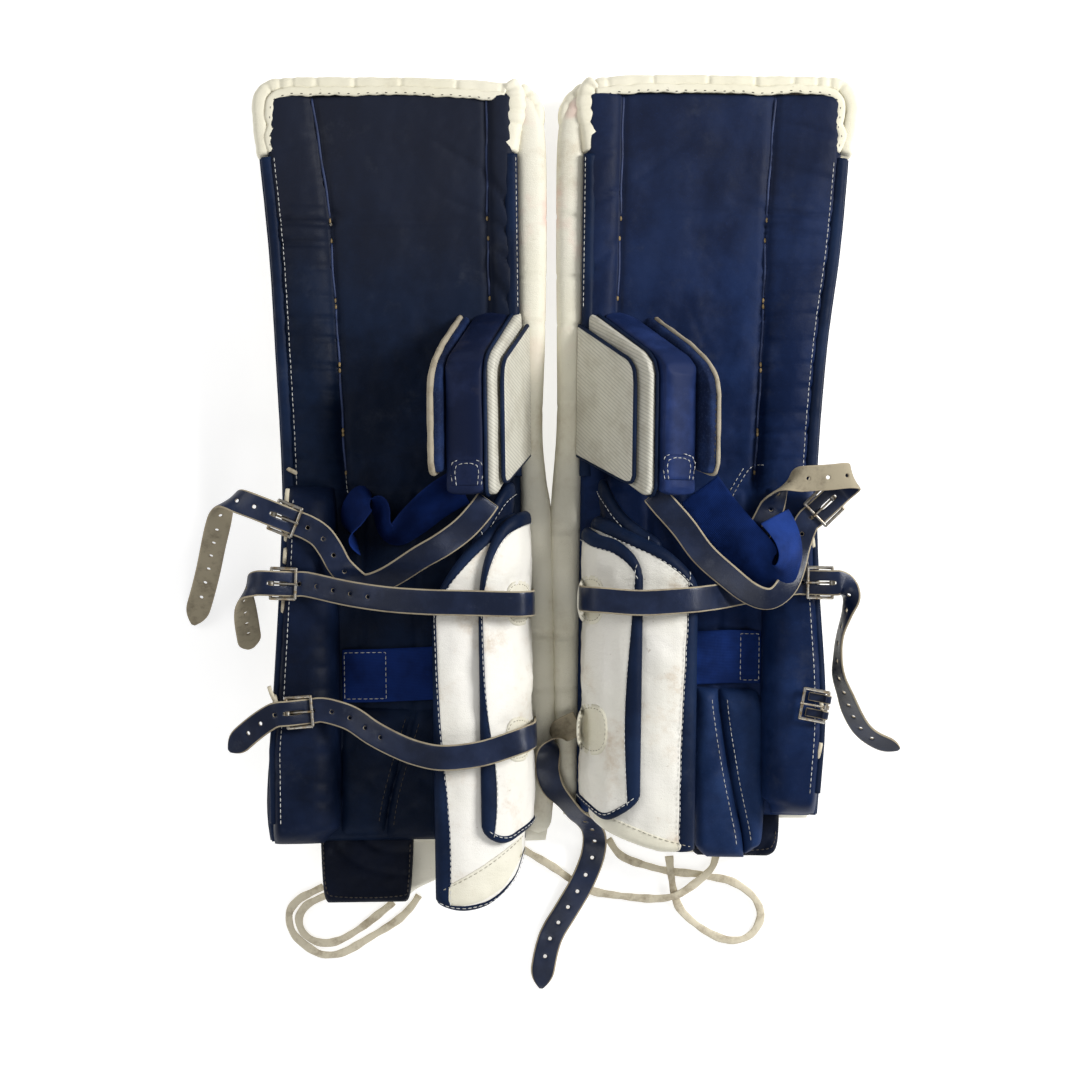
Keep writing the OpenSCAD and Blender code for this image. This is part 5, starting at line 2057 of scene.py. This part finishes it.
@dataclass
class Panel:
    """One white panel of the inner wing with the navy binding of its free edges."""

    name: str
    side: Side
    line: Grid
    thick: float
    top: Callable[[Grid], Grid]
    foot: Callable[[Grid], Grid]
    seed: int
    nodes: tuple[str, ...]
    bound_foot: bool = False
    finish: Finish = WING_WHITE
    pillow: Pillow = field(init=False)
    gaps: tuple[Grid, Grid] = field(init=False)
    bead: Grid = field(init=False)

    def grid(self) -> Grid:
        """Middle surface: rows run from the thigh end down, columns from the bead to the free edge."""
        line = even(self.line, 1.0)
        length = len(line) - 1.0
        u = spread(length, 4.5, 8.0) * length
        x, z = (np.interp(u, np.arange(len(line)), line[:, k]) for k in (0, 1))
        y0, y1 = self.top(x), self.foot(x)
        v = spread(float(np.mean(y0 - y1)), 4.5, 8.0)
        y = y0[None, :] + (y1 - y0)[None, :] * v[:, None]
        self.gaps = (np.minimum(u, length - u)[None, :], np.minimum(v, 1 - v)[:, None] * (y0 - y1)[None, :])
        self.bead = u
        return np.stack([np.broadcast_to(x, y.shape), y, np.broadcast_to(z, y.shape)], axis=-1)

    def build(self) -> bpy.types.Object:
        """Makes the padded panel with its wrinkles."""
        mid = self.grid()
        end_gap = np.broadcast_to(self.gaps[1], mid.shape[:2])
        free = np.broadcast_to((self.bead[-1] - self.bead)[None, :], mid.shape[:2])
        base = np.broadcast_to(self.bead[None, :], mid.shape[:2])
        radius = min(7.0, self.thick / 2)
        rim = rounded(end_gap, radius) * rounded(free, radius) * rounded(base, 4)
        y = mid[..., 1]
        soft = 1.3 * waves(base, y, 46, self.seed, 1.7) + 0.8 * waves(base, y, 19, self.seed + 1, 1.5)
        soft = soft + 0.25 * waves(base, y, 8, self.seed + 2)
        rng = np.random.default_rng(self.seed)
        for _ in range(26):
            a = (rng.uniform(5, base.max() - 8), rng.uniform(y.min() + 20, y.max() - 20))
            b = (a[0] + rng.uniform(-16, 20), a[1] + rng.uniform(-26, 26))
            soft = soft + crease(base, y, a, b, rng.uniform(0.9, 2.4), rng.uniform(1.4, 3.0))
        inside = np.clip(np.minimum(end_gap, free) / 16, 0, 1)
        half = self.thick / 2
        up = np.maximum((half + soft * inside) * rim, 0)
        self.pillow = Pillow(self.side.node(self.name), mid, up, half * rim)
        self.pillow.turned = bool(np.mean(self.pillow.normals()[..., 2]) < 0)
        obj = self.pillow.build(self.side, self.finish)
        settle(obj, self.side.node("inner_wing"), self.finish, *[self.side.node(n) for n in self.nodes])
        self.bindings()
        return obj

    def layers(self) -> tuple[Grid, Grid]:
        """The panel's outside and inside surfaces."""
        p = self.pillow
        return p.mid + p.normals() * p.up[..., None], p.mid - p.normals() * p.down[..., None]

    def wrap(self, name: str, columns: list[tuple[Grid, Grid]], reach: float) -> None:
        """Wraps one free edge in navy binding, with white stitches at its inner side.

        Args:
            name: The edge's name.
            columns: For each station along the edge, the outside and inside rows from the edge inwards.
            reach: How far the binding comes over the outside.
        """
        stations, seam = [], []
        want_top = np.array([reach, reach * 0.8, reach * 0.55, reach * 0.3, 2.2, 0.8])
        want_low = np.array([0.8, 2.2, reach * 0.4, reach * 0.7])
        for top, low in columns:
            gone_top = travel(top)
            stations.append(
                np.vstack([read_rows(want_top, gone_top, top), top[:1], read_rows(want_low, travel(low), low)])
            )
            seam.append(read_rows(reach - 1.6, gone_top, top))
        mid = np.array(stations)
        n, m = mid.shape[:2]
        thick = np.ones((n, m))
        thick[:, [0, -1]] = 0
        thick[[0, -1]] = 0
        pillow = Pillow(self.side.node(f"{self.name}_{name}"), mid, 1.7 * thick, 0.9 * thick)
        centre = mid.mean(axis=1, keepdims=True)
        pillow.turned = bool(np.sum(pillow.normals() * (mid - centre), axis=-1).mean() < 0)
        obj = pillow.build(self.side, BINDING_NAVY)
        refine(obj)
        settle(obj, self.side.node("inner_wing"), BINDING_NAVY)
        row = np.array(seam) + pillow.normals()[:, 1] * 2.5
        sew(f"{self.name}_{name}_seam", self.side, "inner_wing", row[2:-2])

    def bindings(self) -> None:
        """Binds the thigh end, the free edge and, if asked, the foot end."""
        top, low = self.layers()
        n, m = top.shape[:2]
        last = n - 1
        self.wrap("binding_top", [(top[:, j], low[:, j]) for j in range(2, m - 1)], 12.0 + self.thick / 3)
        self.wrap(
            "binding_edge", [(top[i, ::-1], low[i, ::-1]) for i in range(1, n - 1)], 11.5 + self.thick * 0.65
        )
        if self.bound_foot:
            self.wrap("binding_foot", [(top[last::-1, j], low[last::-1, j]) for j in range(2, m - 1)], 9.0)


LINER_FOOT_Z = 84.0


@dataclass
class InnerWing:
    """The inner calf wing: a long and a short white panel that curl over the channel."""

    side: Side

    def build(self) -> None:
        """Makes both panels, the slot patches on them and the navy gusset behind their tops."""
        pick = self.side.pick
        x, z = pick(110.0, 98.0), 73.0
        line = pick(
            [(x, z), (x, z + 23), (x - 8, z + 44), (x - 26, z + 58), (x - 52, z + 65), (x - 77, z + 63)],
            [(x, z), (x, z + 21), (x - 9, z + 42), (x - 30, z + 57), (x - 62, z + 64), (x - 92, z + 61)],
        )
        long_top = edge_line(*pick(
            [(27, -130), (31, -95), (38, -58), (46, -39), (66, -12), (91, 12), (112, 24), (140, 33)],
            [(-2, -70), (4, -49), (15, -30), (38, -10), (72, 7), (100, 22), (125, 33)],
        ))
        long_foot = edge_line(*pick(
            [(25, -335), (34, -350), (50, -357), (68, -357), (86, -350), (103, -331), (115, -300), (140, -281)],
            [(-2, -292), (8, -301), (40, -301), (66, -294), (91, -283), (110, -266), (125, -255)],
        ))
        fine = smooth(line, 8)
        long_panel = Panel(
            "wing_long", self.side, fine, 15.0, long_top, long_foot, 101, ("wing_panel_long",),
            pick(True, False), WING_WHITE
        )
        long_obj = long_panel.build()
        rise = 12.2
        bend = np.gradient(fine, axis=0)
        bend /= np.linalg.norm(bend, axis=1, keepdims=True)
        outward = np.stack([bend[:, 1], -bend[:, 0]], axis=1)
        above = (fine + outward * rise)[fine[:, 1] > z + 3]
        end_x = pick(76.5, 58.5)
        above = above[above[:, 0] > end_x]
        short_top = edge_line(*pick(
            [(75, -120), (79, -62), (82, -35), (88, -12), (99, 10), (114, 22), (140, 31)],
            [(57, -80), (59, -41), (67, -18), (84, -3), (102, 3), (117, 15), (130, 29)],
        ))
        short_foot = edge_line(*pick(
            [(75, -262), (79, -280), (88, -290), (100, -293), (113, -286), (140, -270)],
            [(57, -244), (65, -256), (80, -267), (92, -271), (106, -261), (130, -244)],
        ))
        short_panel = Panel(
            "wing_short", self.side, above, 9.0, short_top, short_foot, 111, ("wing_panel_short",), True,
            WING_WHITE
        )
        short_obj = short_panel.build()
        ground = Ground(self.side, long_obj, short_obj)
        self.patches(ground)
        self.toe_corner(Ground(self.side, long_obj))
        self.liner(fine)
        LOG.info("%s inner wing: long and short panel, bindings, patches", self.side.value)

    def patches(self, ground: Ground) -> None:
        """The D-shaped leather pieces that reinforce the strap slots."""
        spots = self.side.pick(
            [(116, -63, 13, 22), (114, -195, 13, 22)], [(108, -60, 13, 24), (105, -186, 15, 25)]
        )
        for k, (x, y, a, b) in enumerate(spots):
            rings = np.linspace(0.02, 1, 7)
            angle = np.linspace(0, 2 * math.pi, 33)
            px = x + a * np.outer(rings, np.sign(np.cos(angle)) * np.abs(np.cos(angle)) ** 0.8)
            py = y + b * np.outer(rings, np.sign(np.sin(angle)) * np.abs(np.sin(angle)) ** 0.8)
            flat = ground.drop(np.stack([px.ravel(), py.ravel()], axis=1), 0.0, 120).reshape(7, 33, 3)
            mid = flat + (0, 0, 0.2)
            up = np.full((7, 33), 0.6)
            up[-1] = 0
            self.disc(f"slot_patch_{k}", mid, up)
            row = mid[5] + (0, 0, 0.7)
            sew(f"slot_patch_seam_{k}", self.side, "inner_wing", row, STITCH_CREAM, 4.6, 3.0, 0.45)

    def disc(self, name: str, mid: Grid, up: Grid) -> None:
        """A thin round-ended leather piece from rings about a middle."""
        n, m = mid.shape[:2]
        m -= 1
        top = mid[:, :m] + np.stack([0 * up, 0 * up, up], axis=-1)[:, :m]
        low = mid[:, :m] - (0, 0, 1.4)
        points = np.vstack(
            [top.reshape(-1, 3), low.reshape(-1, 3), top[0].mean(axis=0)[None], low[0].mean(axis=0)[None]]
        )
        faces = []
        for layer in (0, n * m):
            for i in range(n - 1):
                for j in range(m):
                    a, b = layer + i * m + j, layer + i * m + (j + 1) % m
                    faces.append([a, b, b + m, a + m])
        for j in range(m):
            k = (j + 1) % m
            faces.append([(n - 1) * m + j, (n - 1) * m + k, n * m + (n - 1) * m + k, n * m + (n - 1) * m + j])
            faces.append([2 * n * m, k, j])
            faces.append([2 * n * m + 1, n * m + j, n * m + k])
        obj = make_object(self.side.node(name), self.side.place(points), faces, [COVER_CREAM])
        settle(obj, self.side.node("inner_wing"), COVER_CREAM)

    def toe_corner(self, ground: Ground) -> None:
        """The cream reinforced corner at the foot end of the long panel."""
        side = self.side
        if side is Side.LEFT:
            top = edge_line((24, -345), (40, -335), (80, -312), (121, -286))
            foot = edge_line(
                (24, -352), (34, -352.5), (50, -358.2), (68, -358.2), (86, -351), (103, -331), (121, -300)
            )
            xs = np.linspace(34, 117, 22)
        else:
            top = edge_line((6, -296), (40, -286), (75, -273), (110, -262))
            foot = edge_line((6, -302), (20, -301.8), (40, -301.8), (66, -294.8), (91, -283.8), (110, -267))
            xs = np.linspace(8, 104, 22)
        share = np.linspace(0, 1, 9)
        ys = foot(xs)[None, :] + (top(xs) - foot(xs))[None, :] * share[:, None]
        grid = np.stack([np.repeat(xs[None, :], 9, axis=0), ys], axis=-1)
        mid = ground.drop(grid.reshape(-1, 2), 0.2, 128).reshape(9, 22, 3)
        thick = np.full((9, 22), 1.0)
        thick[[0, -1]] = 0
        thick[:, [0, -1]] = 0
        obj = Pillow(side.node("wing_corner"), mid, thick, thick, turned=True).build(side, COVER_CREAM)
        refine(obj)
        settle(obj, side.node("inner_wing"), COVER_CREAM)
        row = mid[-2] + (0, 0, 1.3)
        sew("wing_corner_seam", side, "inner_wing", row, STITCH_CREAM)

    def liner(self, fine: Grid) -> None:
        """The navy lining that stands up behind the thigh ends of the panels."""
        pick = self.side.pick
        top = edge_line(*pick(
            [(60, -20), (74, 0), (84, 18), (94, 36), (102, 48), (110, 55), (125, 58)],
            [(20, -28), (38, -6), (60, 10), (75, 22), (86, 36), (94, 52), (100, 62), (120, 66)],
        ))
        foot = edge_line(*pick([(60, -60), (125, -20)], [(20, -70), (120, -20)]))
        line = fine[(fine[:, 0] > pick(72.0, 40.0)) & (fine[:, 1] > LINER_FOOT_Z)]
        Panel("wing_liner", self.side, line + (-2.5, -2.5), 7.0, top, foot, 121, (), False, LINER_NAVY).build()


@dataclass
class KneeStack:
    """The four leaning blocks beside the knee."""

    side: Side
    thick: tuple[float, ...] = (7.0, 11.0, 38.0, 12.0)
    gap: float = 0.3
    foot_z: float = 66.0

    def block(self, i: int, name: str, low: Points, high: Points, edge: float = 5.0) -> Pillow:
        """Makes one block.

        Args:
            i: Its place, from the outside in.
            name: Its name.
            low: (height, y) pairs of its foot-side edge.
            high: (height, y) pairs of its thigh-side edge.
            edge: Rounding of its edges.

        Returns:
            The padded form.
        """
        lean = math.radians(self.side.pick(15, 32))
        rise = self.side.pick(1.0, 0.93)
        before = sum(self.thick[:i]) + self.gap * i
        x0 = self.side.pick(131, 126) - (before + self.thick[i] / 2) / math.cos(lean)
        tall = low[-1][0] * rise
        h = spread(tall, 4.0, edge) * tall
        y0 = np.interp(h / rise, *np.array(low).T)
        y1 = np.interp(h / rise, *np.array(high).T)
        v = spread(float(np.mean(y1 - y0)), 4.0, edge)
        y = y0[:, None] + (y1 - y0)[:, None] * v[None, :]
        height = np.broadcast_to(h[:, None], y.shape)
        mid = np.stack([x0 - height * math.tan(lean), y, self.foot_z + height], axis=-1)
        across = rounded(np.minimum(v, 1 - v) * float(np.mean(y1 - y0)), edge)
        rim = (rounded(tall - h, edge) * rounded(h, 2.0))[:, None] * across[None, :]
        half = self.thick[i] / 2 - 0.2
        soft = 0.35 * waves(y, height, 40, 130 + i) + 0.12 * waves(y, height, 12, 140 + i)
        swollen = (half - 0.5 + soft * (half > 5)) * np.clip(rim, 0, 1) ** 0.8
        return Pillow(self.side.node(name), mid, swollen, swollen)

    def put(self, pillow: Pillow, finish: Finish, *nodes: str) -> bpy.types.Object:
        """Finishes one block."""
        obj = refine(pillow.build(self.side, finish))
        settle(obj, self.side.node("knee_stack"), finish, *[self.side.node(n) for n in nodes])
        return obj

    def build(self) -> None:
        """Makes the four blocks, their pipings, the raw leather edge and the strap's tab."""
        a = self.block(
            0, "stack_card_outer", [(0, 83), (78, 56), (88, 54), (92, 60)],
            [(0, 212), (84, 172), (90, 163), (92, 150)], 3.0
        )
        b = self.block(
            1, "stack_card_inner", [(0, 84), (92, 42), (99, 43), (102, 50)],
            [(0, 226), (88, 180), (98, 170), (102, 158)]
        )
        c = self.block(
            2, "stack_block", [(0, 86), (92, 42), (99, 43), (102, 50)],
            [(0, 226), (88, 180), (98, 170), (102, 158)]
        )
        d = self.block(
            3, "stack_flap", [(0, 92), (90, 64), (98, 64), (102, 74)],
            [(0, 222), (60, 190), (88, 170), (98, 156), (102, 140)]
        )
        self.put(a, RIBS_STEEP, "knee_block_outer")
        self.put(b, RIBS_LOW, "knee_block_middle")
        main = self.put(c, STACK_NAVY_SHADED_AND_LIT[self.side], "knee_block_main")
        flap = self.put(d, STACK_DENIM, "knee_block_inner")
        self.edging("card_outer_edge", a, BINDING_NAVY, 2.2, 0.0)
        self.edging("card_inner_edge", b, BINDING_NAVY, 1.8, -4.0)
        self.raw_edge(d)
        self.tab(Ground(self.side, main))
        self.thread(Ground(self.side, flap))
        LOG.info("%s knee stack: four blocks, raw edge, tab", self.side.value)

    def edging(self, name: str, pillow: Pillow, finish: Finish, radius: float, shift: float) -> None:
        """A thin navy piping round a card's free edges."""
        mid = pillow.mid
        rim = np.vstack([mid[2:, 0], mid[-1, 1:], mid[-2:1:-1, -1]])
        path = even(smooth(rim[::2], 2), 3.0) + (shift, 0, 0)
        settle(
            tube(self.side.node(name), self.side, path, radius, radius, finish, 10),
            self.side.node("knee_stack"), finish
        )

    def raw_edge(self, pillow: Pillow) -> None:
        """The thick raw leather edge that stands round the innermost block."""
        mid = pillow.mid
        lean = math.radians(self.side.pick(15, 32))
        out = np.array([-math.cos(lean), 0, -math.sin(lean)]) * (self.thick[3] / 2 - 1.0)
        rim = np.vstack([mid[3:, 0], mid[-1, 1:], mid[-2:2:-1, -1]]) + out
        path = even(smooth(rim[::2], 2), 2.5)
        gone = np.arange(len(path)) * 2.5
        wide = self.side.pick(3.1, 2.2) + 0.35 * waves(gone, 0 * gone, 22, 7)
        obj = tube(self.side.node("stack_raw_edge"), self.side, path, wide, wide * 0.9, RAW_EDGE, 10, 0.8)
        settle(obj, self.side.node("knee_stack"), RAW_EDGE)

    def tab(self, ground: Ground) -> None:
        """The stitched tab at the block's foot end, where the knee strap starts."""
        x0, x1, y0, y1 = self.side.pick((52.0, 84.0, 50.0, 76.0), (10.0, 42.0, 56.0, 82.0))
        xs, ys = np.linspace(x0, x1, 12), np.linspace(y0, y1, 10)
        grid = np.stack(np.meshgrid(xs, ys), axis=-1).reshape(-1, 2)
        mid = ground.drop(grid, 0.4, 160).reshape(10, 12, 3)
        up = np.full((10, 12), 1.3)
        up[[0, -1]] = 0
        up[:, [0, -1]] = 0
        obj = Pillow(self.side.node("stack_tab"), mid, up, up).build(self.side, STACK_NAVY_SHADED_AND_LIT[self.side])
        refine(obj)
        settle(obj, self.side.node("knee_stack"), STACK_NAVY_SHADED_AND_LIT[self.side])
        for k, inset in enumerate((2.4, 6.0)):
            ring = [
                (x1 - inset, y0 + 1), (x1 - inset, y1 - inset), (x0 + inset, y1 - inset), (x0 + inset, y0 + 1)
            ]
            row = Ground(self.side, obj).drop(even(smooth(ring, 3), 1.6), 0.4, 160)
            sew(f"stack_tab_seam_{k}", self.side, "knee_stack", row)

    def thread(self, ground: Ground) -> None:
        """A stitch row along the innermost block."""
        x = self.side.pick(34.0, -8.0)
        row = ground.drop(even([(x, 78), (x - 1, 150)], 3.0), 0.3, 160)
        sew("stack_flap_seam", self.side, "knee_stack", row, THREAD_DARK)


@dataclass
class Boot:
    """The toe of the pad and the dark heel flap over it."""

    side: Side
    lines: Lines

    def build(self) -> None:
        """Makes the toe cover and the flap with its sewn hem."""
        side, pick = self.side, self.side.pick
        toe = pick(-364.0, -317.0)
        left = edge_line(
            *pick(
                [(-365, -66), (-359, -78), (-346, -85), (-262, -86)],
                [(-318, -66), (-314, -78), (-304, -85), (-262, -86)]
            )
        )
        right = edge_line(
            *pick(
                [(-365, -4), (-352, 10), (-330, 60), (-304, 88), (-262, 92)],
                [(-318, 30), (-308, 56), (-292, 72), (-262, 78)]
            )
        )
        flat = Flat(toe, -262, left, right, 4.0, 9.0)
        rim = flat.rim(12, 12)
        soft = 0.8 * waves(flat.x, flat.y, 34, 150)
        cover = flat.pillow(side.node("toe_cover"), 23, (21.5 + soft) * rim, 22.5 * rim)
        obj = refine(cover.build(side, COVER_CREAM))
        settle(obj, side.node("boot"), COVER_CREAM, side.node("boot_cover"))
        low = pick(-363.0, -316.0)
        left = edge_line(
            *pick([(-364, -74), (-352, -85), (-262, -88)], [(-317, -72), (-306, -84), (-262, -86)])
        )
        right = edge_line(*pick([(-364, -6), (-350, 3), (-262, 8)], [(-317, -6), (-306, 3), (-262, 6)]))
        flat = Flat(low, pick(-293.0, -268.0), left, right, 3.4, 8.0)
        rim = flat.rim(6, 6)
        x, y = flat.x, flat.y
        ribs = sum(np.exp(-((np.hypot(x + 6, (y + 262) * 1.1) - r) / 3.0) ** 2) for r in (34, 56, 80))
        up = (8 - 2.2 * ribs + 0.8 * waves(x, y, 30, 160) + 0.4 * waves(x, y, 12, 161)) * rim
        flap = flat.pillow(side.node("heel_flap"), 51, up, 5 * rim)
        obj = refine(flap.build(side, SHADE_NAVY))
        settle(obj, side.node("boot"), SHADE_NAVY, side.node("boot_liner"))
        ground = Ground(side, obj)
        edge = pick(
            [(-84, -300), (-82, -346), (-70, -356), (-8, -356), (0, -346), (3, -300)],
            [(-82, -290), (-80, -302), (-68, -309), (-8, -309), (0, -302), (2, -290)]
        )
        row = ground.drop(even(smooth(edge, 4), 2.5), 0.3, 58)
        sew("heel_seam", side, "boot", row, THREAD_DARK, 5.0, 3.4, 0.6)
        LOG.info("%s boot: toe cover, heel flap", side.value)


def build_pad(side: Side) -> None:
    """Builds one pad.

    Args:
        side: Which pad.
    """
    lines = Lines(side)
    Shell(side, lines).build()
    TopBinding(side).build()
    Bolsters(side).build()
    OuterWing(side, lines).build()
    InnerWing(side).build()
    KneeStack(side).build()
    Boot(side, lines).build()
    Elastics(side).build()
    Straps(side).build()


def main() -> None:
    """Builds the studio, the laces and both pads."""
    logging.basicConfig(level=logging.INFO, format="%(message)s")
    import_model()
    Studio().build()
    for lace in toe_laces():
        lace.build()
    for side in Side:
        build_pad(side)
    clear_selection()
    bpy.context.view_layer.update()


if __name__ == "__main__":
    main()
